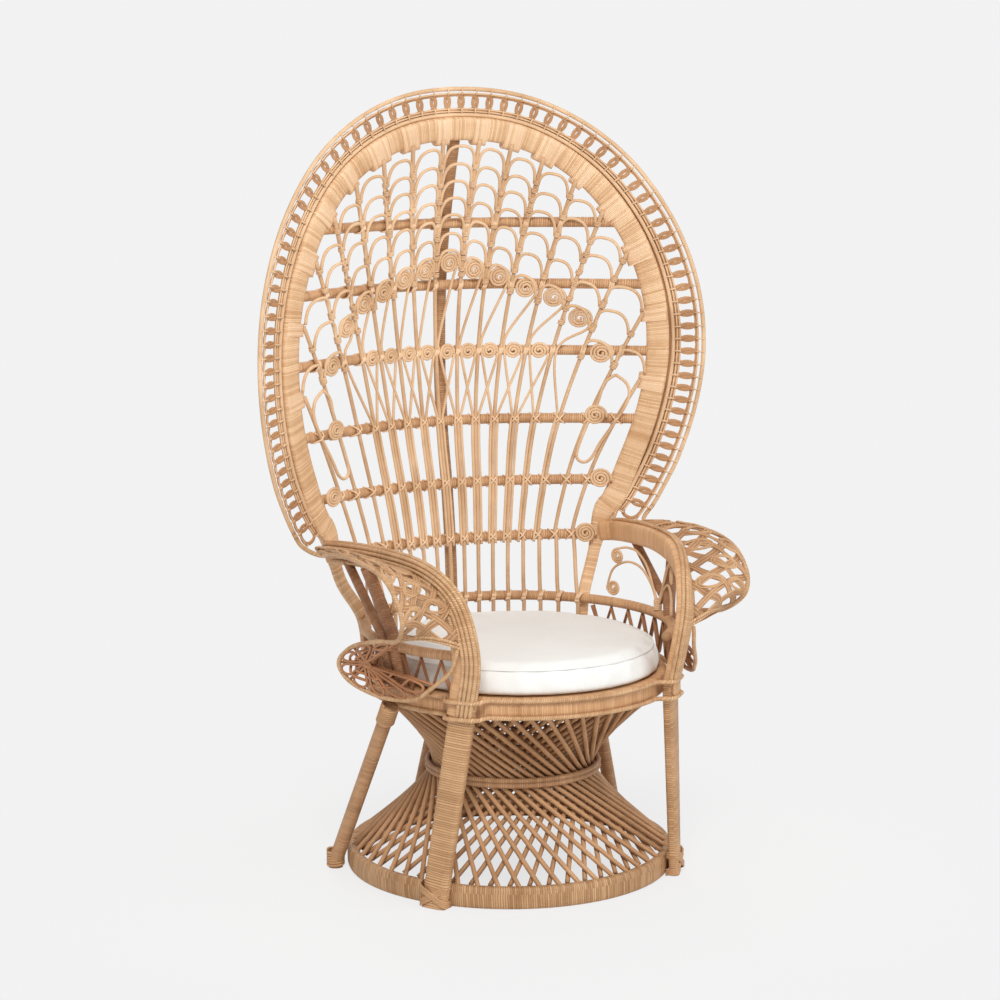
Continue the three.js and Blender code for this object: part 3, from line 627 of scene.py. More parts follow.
def rodLines(turn, inward):
    b = base
    lowRadius = b["radius"] - b["hoopThickness"] / 2 - inward
    highRadius = seat["radius"] - seat["thickness"] / 2 - inward
    lines = []
    for i in range(b["rodCount"]):
        start = i * 360 / b["rodCount"] + (0.5 - turn * 0.5) * 180 / b["rodCount"]
        low = polar(start, lowRadius, b["hoopHeight"] - b["rodOverlap"])
        middle = start + turn * b["lowerTwist"]
        waist = polar(middle, b["waistRadius"] - inward, b["waistHeight"], -b["waistForward"])
        end = start + turn * (b["lowerTwist"] + b["upperTwist"])
        high = seatPolar(end, highRadius, seat["bottom"] + b["rodOverlap"])
        nearLow, nearHigh = [waist + (p - waist) * b["bendStart"] for p in (low, high)]
        bent = waist + ((low - waist) + (high - waist)) * b["bendCut"]
        route = [low, (low + nearLow) / 2, nearLow, bent, nearHigh, (high + nearHigh) / 2, high]
        lines.append(smoothLine(route, 14))
    return lines


def buildBase():
    b = base
    for name, turn, inward in (("Outer", -1, 0), ("Inner", 1, b["familyGap"])):
        layCanes(f"baseRods{name}", rodLines(turn, inward), b["rodRadius"], "rods", "woven_rattan",
                 f"base_rods_{name.lower()}")
    reach = b["waistRadius"] + b["rodRadius"] + b["waistCane"] + b["waistStandoff"]
    rings = [circle(reach, b["waistHeight"] + s * b["waistCane"], -b["waistForward"]) for s in (-1, 1)]
    layCanes("waistHoop", rings, b["waistCane"], "spineWrap", "rattan_cane", "waist_hoop", closed=True)
    middle = b["radius"] - b["hoopThickness"] / 2
    hoop = layBands("baseHoop", [circle(middle, b["hoopHeight"] / 2)], facingUp,
                    roundedOutline(b["hoopThickness"], b["hoopHeight"]), closed=True)
    dress(hoop, "baseWrap", "wrapped_rattan", "base_hoop")


buildBase()
print("base built")

# The seat hoop and its woven deck


# The hoop's edge canes go out round the arms' posts.
def edgeRing(z):
    s = seat
    ring = []
    for angle in np.arange(-180, 180, 1.5):
        away = abs(abs(angle + 90) - s["postAngle"])
        share = within((s["overPostReach"] - away) / s["overPostEase"])
        out = s["overPost"] * share * share * (3 - 2 * share)
        ring.append(seatPolar(angle, s["radius"] + s["edgeCane"] + out, z))
    return ring


def buildSeat():
    s = seat
    middle = s["radius"] - s["thickness"] / 2
    hoop = layBands("seatHoop", [circle(middle, s["bottom"] + s["height"] / 2, -s["forward"])], facingUp,
                    roundedOutline(s["thickness"], s["height"] - 2, 0.55), closed=True)
    dress(hoop, "seatWrap", "wrapped_rattan", "seat_hoop")
    for name, z in (("Upper", seatTop - s["edgeInset"]), ("Lower", s["bottom"] + s["edgeInset"])):
        layCanes(f"seatHoop{name}Cane", [edgeRing(z)], s["edgeCane"], "caneWrap", "rattan_cane",
                 f"seat_hoop_{name.lower()}_cane", closed=True)
    clearSelection()
    place = (0, middleY - s["forward"] * mm, (seatTop - s["edgeInset"]) * mm)
    radius = (s["radius"] - s["thickness"] - 1) * mm
    bpy.ops.mesh.primitive_cylinder_add(vertices=64, radius=radius, depth=s["deckThick"] * mm, location=place)
    deck = bpy.context.object
    deck.name = "seatDeck"
    bpy.ops.object.transform_apply(location=True, rotation=True, scale=True)
    # The deck's darker cane colours are painted shade under the cushion.
    dress(deck, "caneInPaintedShade", "woven_rattan", "seat_deck")


buildSeat()
print("seat built")

# The back: band, border, rails, fan, arches and scrolls

border = {
    "reach": 133, "step": 2, "spacing": 9, "bandInner": -24, "bandOuter": 22.5, "bandThick": 24,
    "trimOut": 25.5, "trimForward": 2.5, "trimRadius": 3.9, "innerCaneOuts": [32, 37], "innerForward": 1.5,
    "outerCaneOut": 66.5, "outerForward": 2, "thinCane": 1.8, "rimOut": 75.4, "rimRadius": 4.3, "rimShort": 4,
    "laceIn": 31, "laceOut": 68.3, "rings": 80, "ringPoints": 20, "ringWide": 0.65, "ringPower": 0.8,
    "ringLift": 1.3, "stripWidth": 7.4, "tieOver": 2, "tieForward": 5.5, "tieRadius": 1.7,
    "taperStart": 116, "taperShare": 0.05, "footShift": 10,
    "patchWidth": 15, "patchWider": 0.3, "patchInner": 9, "patchThick": 2.4,
    "grooveShadeFrom": 8, "grooveShadeTo": 35, "grooveShadeForward": -5, "grooveShadeThick": 4,
}
post = {
    "width": 24, "kneeOut": 276, "kneeHeight": 548, "angle": 40, "footRound": 306, "footHeight": 368,
    "thin": 0.62, "narrowRun": 215, "easeRun": 95,
}
seatRail = {"radius": 9.8, "round": 294.8, "end": 45}


# The border narrows a little towards its two feet and draws in there.
def borderPoint(angle, outward, forward=0):
    b = border
    past = max(abs(angle) - b["taperStart"], 0) / (b["reach"] - b["taperStart"])
    ease = past ** 1.5
    fromBand = (outward - b["bandOuter"]) * (1 - b["taperShare"] * ease)
    return hoopPoint(angle, b["bandOuter"] - b["footShift"] * ease + fromBand, forward)


def alongHoop(outward, forward=0, short=0):
    b = border
    reach = b["reach"] - short
    angles = np.arange(-reach, reach + 0.1, b["step"])
    return evenly([borderPoint(a, outward, forward) for a in angles], b["spacing"])


# The band goes on down as the back's two posts.
def bandLine(middle):
    reach = seatRail["round"] + seatRail["radius"] + post["width"] / 2
    marks = ((reach, fan["seatRail"]), (post["footRound"], seatTop), (post["footRound"], post["footHeight"]))
    feet = [onBack(post["kneeOut"], post["kneeHeight"])]
    feet += [seatPolar(post["angle"], radius, z) for radius, z in marks]
    end = backShape["hoopEnd"]
    arc = [hoopPoint(a, middle) for a in np.arange(-end, end + 0.1, 4)]
    return smoothLine([p * [-1, 1, 1] for p in reversed(feet)] + arc + feet, border["spacing"])


def buildBand():
    b = border
    middle = (b["bandInner"] + b["bandOuter"]) / 2
    width = b["bandOuter"] - b["bandInner"]
    line = bandLine(middle)
    total = lineLength(line)
    narrowTo, easeOver = post["narrowRun"] / total, post["easeRun"] / total
    scales = []
    for t in np.linspace(0, 1, len(line)):
        blend = within((min(t, 1 - t) - narrowTo) / easeOver)
        thin = post["thin"] + (1 - post["thin"]) * blend
        scales.append(((post["width"] + (width - post["width"]) * blend) / width, thin))
    band = layBands("backBand", [line], facingSitter, roundedOutline(width, b["bandThick"]), scales=scales)
    dress(band, "wrapped", "wrapped_rattan", "back_hoop")
    # Where a spoke ends, more turns of peel bind it to the band.
    patches = []
    for n, top in enumerate(fan["topAngles"]):
        half = math.degrees(b["patchWidth"] / backShape["hoopRise"]) * (1 + b["patchWider"] * (n % 3))
        for side in (-1, 1):
            angles = [side * top + d * half for d in np.linspace(-1, 1, 5)]
            patches.append([hoopPoint(a, middle - b["patchInner"] / 2) for a in angles])
    outline = roundedOutline(width + b["patchInner"], b["bandThick"] + b["patchThick"])
    dress(layBands("bandPatches", patches, facingSitter, outline), "lightWrap", "wrapped_rattan")


# A ring of peel, which lies over its neighbour on one side and under the one on the other side.
def ringOutline(angle, pitch):
    b = border
    middle = (b["laceIn"] + b["laceOut"]) / 2
    tall = (b["laceOut"] - b["laceIn"]) / 2 - b["stripWidth"] / 2
    wide = pitch * b["ringWide"]
    points = []
    for i in range(b["ringPoints"]):
        a = 2 * math.pi * i / b["ringPoints"]
        c, s = math.cos(a), math.sin(a)
        u = wide * math.copysign(abs(c) ** b["ringPower"], c)
        v = tall * math.copysign(abs(s) ** b["ringPower"], s)
        points.append(borderPoint(angle + u, middle + v, b["ringLift"] * math.sin(2 * a)))
    return points


def buildBorder():
    b = border
    trim = alongHoop(b["trimOut"], b["trimForward"])
    layCanes("bandTrim", [trim], b["trimRadius"], "cane", "rattan_cane", "back_hoop_trim")
    # A dark sheet in the lace's colours, behind the trim and the inner canes, paints the shade in the groove
    # beside the band.
    middle = alongHoop((b["grooveShadeFrom"] + b["grooveShadeTo"]) / 2, b["grooveShadeForward"])
    outline = roundedOutline(b["grooveShadeTo"] - b["grooveShadeFrom"], b["grooveShadeThick"], 0.6, 12)
    dress(layBands("borderGrooveShade", [middle], facingSitter, outline), "lace", "woven_rattan")
    pitch = 2 * b["reach"] / b["rings"]
    rings = [ringOutline(-b["reach"] + (i + 0.5) * pitch, pitch) for i in range(b["rings"])]
    half = b["stripWidth"] / 2
    strip = [(-half, -0.5), (-half, 0.5), (-half * 0.5, 1.2), (half * 0.5, 1.2), (half, 0.5), (half, -0.5),
             (half * 0.5, -1.2), (-half * 0.5, -1.2)]
    lace = layBands("borderLace", rings, facingSitter, strip, closed=True)
    dress(lace, "lace", "woven_rattan", "border_lace")
    rim = alongHoop(b["rimOut"], short=b["rimShort"])
    layCanes("borderRim", [rim], b["rimRadius"], "cane", "rattan_cane", "border_rim")
    thin = [alongHoop(b["outerCaneOut"], b["outerForward"])]
    thin += [alongHoop(out, b["innerForward"]) for out in b["innerCaneOuts"]]
    layCanes("borderThinCanes", thin, b["thinCane"], "cane", "rattan_cane")
    spans = ((b["trimOut"] + 2, b["innerCaneOuts"][1] + 2), (b["outerCaneOut"] - 3, b["rimOut"] + 1))
    ties = []
    for i in range(b["rings"] + 1):
        for low, high in spans:
            marks = ((low, b["tieOver"]), (low + 1.5, b["tieForward"]), (high - 1.5, b["tieForward"]),
                     (high, b["tieOver"]))
            ties.append([borderPoint(-b["reach"] + i * pitch, out, forward) for out, forward in marks])
    layCanes("borderTies", ties, b["tieRadius"], "cane", "rattan_cane", sides=6)


# How far out the band's inner edge is at a height
def hoopInside(z):
    edge = [hoopPoint(a, border["bandInner"] + 3) for a in np.linspace(8, backShape["hoopEnd"], 260)]
    nearest = min(edge, key=lambda p: abs(p[2] - z))
    if z > edge[-1][2]:
        return nearest[0]
    end = hoopPlane(backShape["hoopEnd"])
    share = (end[1] - z) / (end[1] - post["kneeHeight"])
    return end[0] + (post["kneeOut"] - end[0]) * share - post["width"] / 2


def buildRails():
    look = ("wrappedPole", "wrapped_rattan")
    for i, z in enumerate(railHeights):
        reach = hoopInside(z) + fan["railOverlap"]
        line = evenly([onBack(x, z) for x in np.linspace(-reach, reach, 41)], 9)
        layCanes(f"backRail{i + 1}", [line], fan["railRadius"], *look, f"back_rail_{i + 1}", sides=12)
    angles = np.linspace(-seatRail["end"], 180 + seatRail["end"], 120)
    line = evenly([seatPolar(a, seatRail["round"], fan["seatRail"]) for a in angles], 9)
    layCanes("seatRail", [line], seatRail["radius"], *look, "seat_rail", sides=12)


# Heights of the arches' tops, in each column of the fan counted out from the middle
arches = [
    [1391, 1356, 1322, 1288, 1254, 1216, 1182], [1382, 1346, 1312, 1275, 1237, 1198, 1164],
    [1362, 1328, 1296, 1261, 1225, 1183, 1148], [1332, 1292, 1256, 1212, 1170, 1126],
    [1277, 1241, 1203, 1157, 1106], [1202, 1166, 1112, 1064], [1103, 1055, 994], [975],
]
archShape = {
    "drop": 40, "lean": 7, "aside": 4.6, "cane": 3.2, "sidePower": 0.72, "topPower": 0.82,
    "forward": 1.5, "bulge": 3,
}
scroll = {
    "radius": 21, "smallRadius": 16.5, "eye": 2.6, "cane": 2.9, "turns": 3.2, "fewer": 0.6, "forward": 15,
    "start": -0.25, "rise": 2.5, "steps": 16, "heights": [1155, 1140, 1124, 1101, 1082, 1040, 969],
    # Where a tail leaves its coil, as shares of the coil's radius: how far aside and how far down
    "leave": (0.6, 1.1), "smallLeave": (0.8, 1.2),
    "tailCane": 2.8, "tailGap": 6.9, "tailBend": 1010,
    "tailMarks": [railHeights[3] + 12, railHeights[3], 780, railHeights[4], 650, railHeights[5], 584],
    # Single scrolls at each side: how far out, how high and how large
    "single": [(291, 843, 20), (299, 712, 20), (266, 600, 20)],
}
# A long loop near each side of the fan, down from an arch's top: how far out and how high
longLoop = [(325, 926), (345, 908), (349, 880), (332, 840), (300, 786), (284, 755), (268, 745), (256, 760),
            (272, 812), (294, 866), (306, 908)]


# The spokes on a column's left and right
def columnSides(c):
    side = 1 if c > 0 else -1
    if c == 0:
        return -1, 1
    inner, outer = side * abs(c), side * (abs(c) + 1)
    return (inner, outer) if side > 0 else (outer, inner)


def columnX(c, z):
    left, right = columnSides(c)
    return (spokeX(left, z) + spokeX(right, z)) / 2


# The outermost columns' arches end on the band instead of a spoke.
def archLine(c, top):
    s = archShape
    left, right = columnSides(c)
    if abs(c) == 7:
        right = right if c < 0 else None
        left = left if c > 0 else None
    outward = 1 if c > 0 else -1
    ends = []
    for k, way in ((left, 1), (right, -1)):
        z = top - s["drop"] + s["lean"] * (0 if c == 0 else way * outward)
        x = outward * (hoopInside(z) + 2) if k is None else spokeX(k, z) + way * s["aside"]
        ends.append((x, z))
    (x0, z0), (x1, z1) = ends
    line = []
    for t in np.linspace(0, 1, 21):
        a = math.pi * t
        x = (x0 + x1) / 2 - (x1 - x0) / 2 * math.copysign(abs(math.cos(a)) ** s["sidePower"], math.cos(a))
        z = z0 + (z1 - z0) * (x - x0) / (x1 - x0) + (top - (z0 + z1) / 2) * math.sin(a) ** s["topPower"]
        line.append(onBack(x, z, fan["forward"] + s["forward"] + s["bulge"] * math.sin(a)))
    return line


def spiral(x, z, radius, turns, forward):
    line = []
    steps = int(turns * scroll["steps"])
    for i in range(steps + 1):
        t = i / steps
        r = radius - (radius - scroll["eye"]) * t
        a = scroll["start"] + 2 * math.pi * turns * t
        line.append(onBack(x + r * math.cos(a), z + r * math.sin(a), forward + scroll["rise"] * t))
    return line


def buildSpokes():
    lines, radii = [], []
    for k in spokes:
        foot = np.linspace(seatTop + 1, fan["seatRail"], 3)[:-1]
        marks = np.concatenate([foot, np.linspace(fan["seatRail"], spokeTop(k) + fan["topOverlap"], 60)])
        line = evenly([spokePoint(k, z) for z in marks], 12)
        lines.append(line)
        above = [within((p[2] - fan["thickFrom"]) / fan["thickOver"]) for p in line]
        radii.append([1 + fan["thicker"] * share for share in above])
    names = [f"fan_spoke_{side}_{n}" for n in range(1, 9) for side in ("left", "right")]
    layCanes("fanSpokes", lines, fan["radius"], "spokeCane", "rattan_cane", *names, sides=10, radii=radii)


# A scroll's tail runs down beside spoke k to the seat.
def tailDown(k, aside):
    return [onBack(spokeX(k, z) + aside, z, scroll["forward"]) for z in scroll["tailMarks"]]


def buildScrolls():
    s = scroll
    forward, gap, small = s["forward"], s["tailGap"], s["smallRadius"]
    railThree = railHeights[2]
    coils, tails = [], []
    for c in range(-6, 7):
        left, right = columnSides(c)
        height = s["heights"][abs(c)]
        x = columnX(c, height)
        coils.append(spiral(x, height, s["radius"], s["turns"], forward))
        if abs(c) == 6:
            continue
        aside, down = [s["radius"] * share for share in s["leave"]]
        route = [coils[-1][0], onBack(x + aside, height - down, forward)]
        if abs(c) < 5:
            route.append(onBack(spokeX(left, s["tailBend"]) + gap + 2, s["tailBend"], forward))
        route.append(onBack(spokeX(left, railThree) + gap, railThree, forward))
        tails.append(smoothLine(route + tailDown(right, -gap), 11))
        if abs(c) == 5:
            continue
        x = columnX(c, railThree)
        coils.append(spiral(x, railThree, small, s["turns"] - s["fewer"], forward))
        aside, down = [small * share for share in s["smallLeave"]]
        route = [coils[-1][0], onBack(x + aside, railThree - down, forward)]
        tails.append(smoothLine(route + tailDown(left, gap), 11))
    coils += [spiral(side * x, z, r, s["turns"], forward + 3) for side in (-1, 1) for x, z, r in s["single"]]
    layCanes("fanScrolls", [evenly(line, 4) for line in coils], s["cane"], "cane", "rattan_cane")
    rows = ("scroll_tails_upper", "scroll_tails_lower")
    layCanes("scrollTails", tails, s["tailCane"], "cane", "rattan_cane", *rows)


def buildArches():
    lines = [evenly(archLine(c, top), 6) for c in range(-7, 8) for top in arches[abs(c)]]
    for side in (-1, 1):
        loop = [onBack(side * x, z, fan["forward"] + 4) for x, z in longLoop]
        lines.append(smoothLine(loop + loop[:1], 6))
    rows = [f"scallop_row_{i}" for i in range(1, 6)]
    layCanes("fanArches", lines, archShape["cane"], "cane", "rattan_cane", *rows)


buildBand()
buildBorder()
buildRails()
buildSpokes()
buildScrolls()
buildArches()
print("back built")

# Legs and the spine

legs = {
    "footAngle": {"right": 25, "left": 163}, "topAngle": {"right": 38, "left": 194}, "radius": 14,
    "footGap": 10, "top": 368, "footHeight": 12, "spineAngle": 99, "spineRadius": 12, "spineGap": 20,
    "spineOver": 10,
}


def legEnds(side, footZ):
    foot = polar(legs["footAngle"][side], base["radius"] + legs["radius"] + legs["footGap"], footZ)
    radius = seat["radius"] + seat["legGap"] + legs["radius"]
    return foot, seatPolar(legs["topAngle"][side], radius, legs["top"])


def spineFoot(z):
    return polar(legs["spineAngle"], base["radius"] + legs["spineRadius"] + legs["spineGap"], z)


def buildLegs():
    for side in ("right", "left"):
        foot, top = legEnds(side, 0)
        line = evenly([foot, foot + [0, 0, legs["footHeight"]], top], 10)
        layCanes(f"sideLeg{side.title()}", [line], legs["radius"], "spineWrap", "wrapped_rattan",
                 f"side_leg_{side}", sides=14)
    behindSeat = seatRail["round"] + seatRail["radius"] + legs["spineRadius"] - seat["forward"]
    behindRails = -(fan["railRadius"] + legs["spineRadius"])
    crown = hoopPoint(0, -backShape["bandWidth"] / 2 - legs["spineRadius"])[2]
    route = [spineFoot(legs["footHeight"]), (0, behindSeat, seatTop), (0, behindSeat, fan["seatRail"])]
    route += [onBack(0, z, behindRails) for z in railHeights[::-1] + [crown + legs["spineOver"]]]
    line = evenly(np.vstack([[spineFoot(0)], smoothLine(route, 12)]), 12)
    layCanes("backSpine", [line], legs["spineRadius"], "spineWrap", "wrapped_rattan", "back_spine", sides=12)


buildLegs()
print("legs built")

# The cushion: filled out by a cloth simulation, then sewn

cushion = {
    "voxel": 0.006, "shrink": 0.985, "pinHeight": 0.004, "pressure": 3.2, "stiffness": 6, "quality": 4,
    "frames": 20, "most": 0.012, "smoothing": 16, "seamDrop": 12, "seamPoints": 120, "seamOut": 0.2,
    "seamNear": 0.003, "seamAside": 0.012, "pipingRadius": 1.5,
}
cotton = {
    "light": "#f1f2f0", "dark": "#e3e2de", "threads": 320, "distortion": 0.6, "softScale": 9, "softDetail": 3,
    "slubs": 240, "weave": 0.18, "soft": 0.7, "fineDepth": 0.0003, "fineBump": 0.5, "wideDepth": 0.004,
    "wideBump": 0.35, "rough": 0.9, "sheen": 0.15, "specular": 0.2,
}


def clothFinish():
    c = cotton
    material, tree = newMaterial("cottonCloth")
    place = addNode(tree, "TexCoord").outputs["Object"]
    wave = {"Scale": c["threads"], "Distortion": c["distortion"], "Vector": place}
    threads = [addNode(tree, "TexWave", wave, bands_direction=axis).outputs["Fac"] for axis in ("X", "Y")]
    soft = {"Scale": c["softScale"], "Detail": c["softDetail"], "Vector": place}
    soft = addNode(tree, "TexNoise", soft).outputs["Fac"]
    slub = addNode(tree, "TexNoise", {"Scale": c["slubs"], "Vector": place}).outputs["Fac"]
    weave = sums(tree, "MULTIPLY_ADD", sums(tree, "ADD", *threads), 0.5, slub)
    tone = sums(tree, "MULTIPLY_ADD", weave, c["weave"], sums(tree, "MULTIPLY", soft, c["soft"]))
    fine = {"Distance": c["fineDepth"], "Strength": c["fineBump"], "Height": weave}
    fine = addNode(tree, "Bump", fine).outputs[0]
    wide = {"Distance": c["wideDepth"], "Strength": c["wideBump"], "Height": soft, "Normal": fine}
    wide = addNode(tree, "Bump", wide).outputs[0]
    rest = {"Normal": wide, "Roughness": c["rough"], "Sheen Weight": c["sheen"]}
    rest["Specular IOR Level"] = c["specular"]
    finishShader(tree, tone, c["light"], c["dark"], rest)
    return material


# The CAD's cushion in a fine even mesh, a little smaller than its space
def heldCushion(middle):
    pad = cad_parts["seat_cushion"].copy()
    pad.data = pad.data.copy()
    pad.parent = None
    bpy.context.scene.collection.objects.link(pad)
    pad.name = "seatPad"
    for vertex in pad.data.vertices:
        vertex.co.x = middle.x + (vertex.co.x - middle.x) * cushion["shrink"]
        vertex.co.y = middle.y + (vertex.co.y - middle.y) * cushion["shrink"]
    makeActive(pad)
    pad.data.remesh_voxel_size = cushion["voxel"]
    bpy.ops.object.voxel_remesh()
    return pad


def fillCushion(pad, low, high):
    rest = np.array([v.co for v in pad.data.vertices])
    pin = pad.vertex_groups.new(name="onDeck")
    for v in pad.data.vertices:
        if v.co.z < low.z + cushion["pinHeight"]:
            pin.add([v.index], 1, "REPLACE")
    cloth = pad.modifiers.new("filling", "CLOTH")
    cloth.settings.use_pressure = True
    cloth.settings.uniform_pressure_force = cushion["pressure"]
    cloth.settings.vertex_group_mass = "onDeck"
    cloth.settings.effector_weights.gravity = 0
    cloth.settings.bending_stiffness = cushion["stiffness"]
    cloth.settings.quality = cushion["quality"]
    cloth.point_cache.frame_end = cushion["frames"]
    for f in range(1, cushion["frames"] + 1):
        bpy.context.scene.frame_set(f)
    makeActive(pad)
    bpy.ops.object.modifier_apply(modifier="filling")
    moved = np.array([v.co for v in pad.data.vertices]) - rest
    length = np.linalg.norm(moved, axis=1, keepdims=True)
    moved *= np.minimum(1, cushion["most"] / np.maximum(length, 1e-9))
    filled = rest + moved
    # The filled pad stays in the space that it has on the seat.
    middle = np.array((low + high) / 2)[:2]
    reach = np.linalg.norm(filled[:, :2] - middle, axis=1, keepdims=True)
    shrink = np.minimum(1, (high.x - low.x) / 2 / np.maximum(reach, 1e-9))
    filled[:, :2] = middle + (filled[:, :2] - middle) * shrink
    filled[:, 2] = np.clip(filled[:, 2], low.z, high.z)
    pad.data.vertices.foreach_set("co", filled.ravel())
    bpy.context.scene.frame_set(1)


# The piping lies on the pad's skin, a little below the top's edge.
def seamRing(pad, middle, height):
    skin = np.array([v.co for v in pad.data.vertices])
    flat = skin[:, :2] - np.array([middle.x, middle.y])
    level = np.abs(skin[:, 2] - height) < cushion["seamNear"]
    ring = []
    for i in range(cushion["seamPoints"]):
        a = 2 * math.pi * i / cushion["seamPoints"]
        way = np.array([math.cos(a), math.sin(a)])
        ahead = np.abs(flat @ [-way[1], way[0]]) < cushion["seamAside"]
        near = level & (flat @ way > cushion["seamOut"]) & ahead
        reach = (flat[near] @ way).max()
        ring.append([middle.x + way[0] * reach, middle.y + way[1] * reach, height])
    ring = (np.array(ring) - [0, middleY, 0]) / mm
    for _ in range(3):
        ring = (np.roll(ring, 1, axis=0) + ring * 2 + np.roll(ring, -1, axis=0)) / 4
    return ring


def buildCushion():
    low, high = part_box("seat_cushion")
    middle = (low + high) / 2
    pad = heldCushion(middle)
    fillCushion(pad, low, high)
    smooth = pad.modifiers.new("smooth", "SMOOTH")
    smooth.iterations = cushion["smoothing"]
    finer = pad.modifiers.new("finer", "SUBSURF")
    finer.levels = 1
    makeActive(pad)
    bpy.ops.object.modifier_apply(modifier="smooth")
    bpy.ops.object.modifier_apply(modifier="finer")
    bpy.ops.object.shade_smooth()
    ring = seamRing(pad, middle, high.z - cushion["seamDrop"] * mm)
    piping = bendCanes("seatPadPiping", [ring], cushion["pipingRadius"], closed=True)
    cloth = clothFinish()
    for piece in (pad, piping):
        piece.data.materials.clear()
        piece.data.materials.append(cloth)
        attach(piece, "cushion")
    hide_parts("seat_cushion")


buildCushion()
print("cushion built")

# The arms: a wrapped band on edge, canes along its front, an open woven roll and a rosette below it

arm = {
    "spread": 302, "reach": 285, "height": 640, "width": 40, "thickness": 22, "frontGap": 2,
    "frontAngle": -40, "intoLeg": 0.07,
    "postShare": 1.22, "postShift": -4.5, "postFrom": 0.4, "postOver": 0.3,
    # The band's and the roll edge's marks are shares of the spread, the reach and the height.
    "route": [(1.02, 0.54, 0.952), (0.99, 0.3, 0.965), (0.955, 0, 0.977), (0.915, -0.3, 0.983),
              (0.865, -0.6, 0.978), (0.815, -0.8, 0.95), (0.775, -0.93, 0.9), (0.745, -1, 0.82),
              (0.716, -0.99, 0.73), (0.706, -0.907, 0.62)],
    "edge": [(1.165, 0.32, 0.967), (1.2, 0.035, 0.995), (1.225, -0.28, 1.01), (1.22, -0.58, 1.01),
             (1.2, -0.84, 0.99), (1.185, -1.01, 0.94), (1.17, -1.055, 0.89), (1.15, -1, 0.85),
             (1.115, -0.825, 0.805), (1.115, -0.49, 0.775), (1.14, -0.14, 0.73), (1.17, 0.02, 0.672),
             (1.14, -0.07, 0.625), (1.08, -0.31, 0.605), (1.02, -0.53, 0.605), (0.95, -0.76, 0.625),
             (0.9, -0.9, 0.675)],
    "edgeEnd": 0.94, "edgeRadius": 4.4, "sweepDrop": 4, "backEnd": (296, 187, 605),
    # Where canes lie on the band: how far up from its middle and how far out
    "canes": [(19, 13), (11.5, 14.6), (3.4, 14.8), (-4.7, 14.8)], "topCane": (22.6, 6),
    "loopCane": (-12.8, 14.8),
    "loopEnd": [(243, -294, 500), (250, -283, 463), (265, -262, 438), (276, -243, 421)],
    "caneRadius": 4, "legWidth": 50, "legThickness": 21, "legFoot": 6,
}
roll = {
    "armShare": 0.82, "edgeShare": 0.5, "bulge": 20, "strips": 8, "slant": 2.3, "strands": 5, "strandGap": 4,
    "strandRadius": 1.7, "wave": 2.8, "length": 390, "depth": 85,
    "curlRadius": 14, "curlGap": 3.4, "curlLift": 3.5, "start": -4, "standoff": 3,
    "endCanes": [0.008, 0.982, 1], "endRadius": 3,
    "curls": [(0.1, 0.5), (0.24, 0.24), (0.24, 0.76), (0.38, 0.5), (0.52, 0.24), (0.52, 0.76), (0.66, 0.5),
              (0.8, 0.26), (0.8, 0.74)],
}
rosette = {
    "hub": (1.09, -0.27, 0.69), "petals": 9, "strip": 2.7, "rings": [0.42, 0.66],
    "ringWave": 5, "ringInset": 0.07, "depth": 16,
    "petal": [(0.5, 0.1), (0.22, 0.4), (0.12, 0.68), (0.25, 0.86), (0.5, 0.93), (0.75, 0.86), (0.88, 0.68),
              (0.78, 0.4), (0.5, 0.1)],
}
panel = {
    "radius": 292, "low": 488, "high": 590, "cane": 2.5, "coil": 15, "eye": 3, "turns": 2.6, "steps": 14,
    "stem": -4.5,
    "stemTurns": (7, 3.4), "stemCane": 1.8,
    # Each curl's stem in degrees and rise, its coil's middle, and where and which way the coil starts
    "curls": [
        ([(-4.5, 0), (-3.9, 0.12), (0, 0.42), (5, 0.78), (11, 1.0), (17, 1.04)], (22, 0.84), 90, -1),
        ([(-4.5, 0), (-3, 0.14), (1, 0.42), (7, 0.66), (13, 0.76), (19, 0.73), (24.5, 0.55)],
         (24, 0.2), 0, -1),
        ([(-4.5, 0), (-5.1, 0.12), (-9, 0.45), (-14, 0.86), (-19, 1.02)], (-24, 0.82), 90, 1),
        ([(-4.5, 0), (-6, 0.14), (-9, 0.35), (-13, 0.53), (-18, 0.58), (-22.5, 0.5)], (-27, 0.25), 90, 1),
    ],
}
# Two poles behind each arm: angle, radius and height of their marks, then their own radius
poles = [([(-14, 303, 404), (-8.5, 307, 496), (21, 330, 612)], 9),
         ([(-19, 300, 404), (-13, 299, 502), (-4, 325, 622)], 12)]
lacing = {"radius": 4.8, "round": 294, "from": -40, "to": 34, "points": 18, "low": 3, "high": 2}


def armPoint(x, y, z, side):
    return np.array([side * x * arm["spread"], y * arm["reach"], z * arm["height"]])


def routePoint(route, side, t):
    return armPoint(*[through([place[k] for place in route], t) for k in range(3)], side)


# A point of the woven roll: share u along it, share v from the band to its outer edge.
def rollPoint(side, u, v, lift=0):
    t = u * roll["armShare"]
    inner = routePoint(arm["route"], side, t)
    along = routePoint(arm["route"], side, t + 0.01) - routePoint(arm["route"], side, max(t - 0.01, 0))
    out = facingOut(inner)
    across = np.cross(along / np.linalg.norm(along), out) * side
    inner = inner + out * (arm["thickness"] / 2 + roll["standoff"]) + across * roll["start"]
    point = inner + (routePoint(arm["edge"], side, u * roll["edgeShare"]) - inner) * v
    swell = facingOut(point) + [0, 0, 1]
    swell /= np.linalg.norm(swell)
    return point + swell * (roll["bulge"] * math.sin(math.pi * v) + lift)


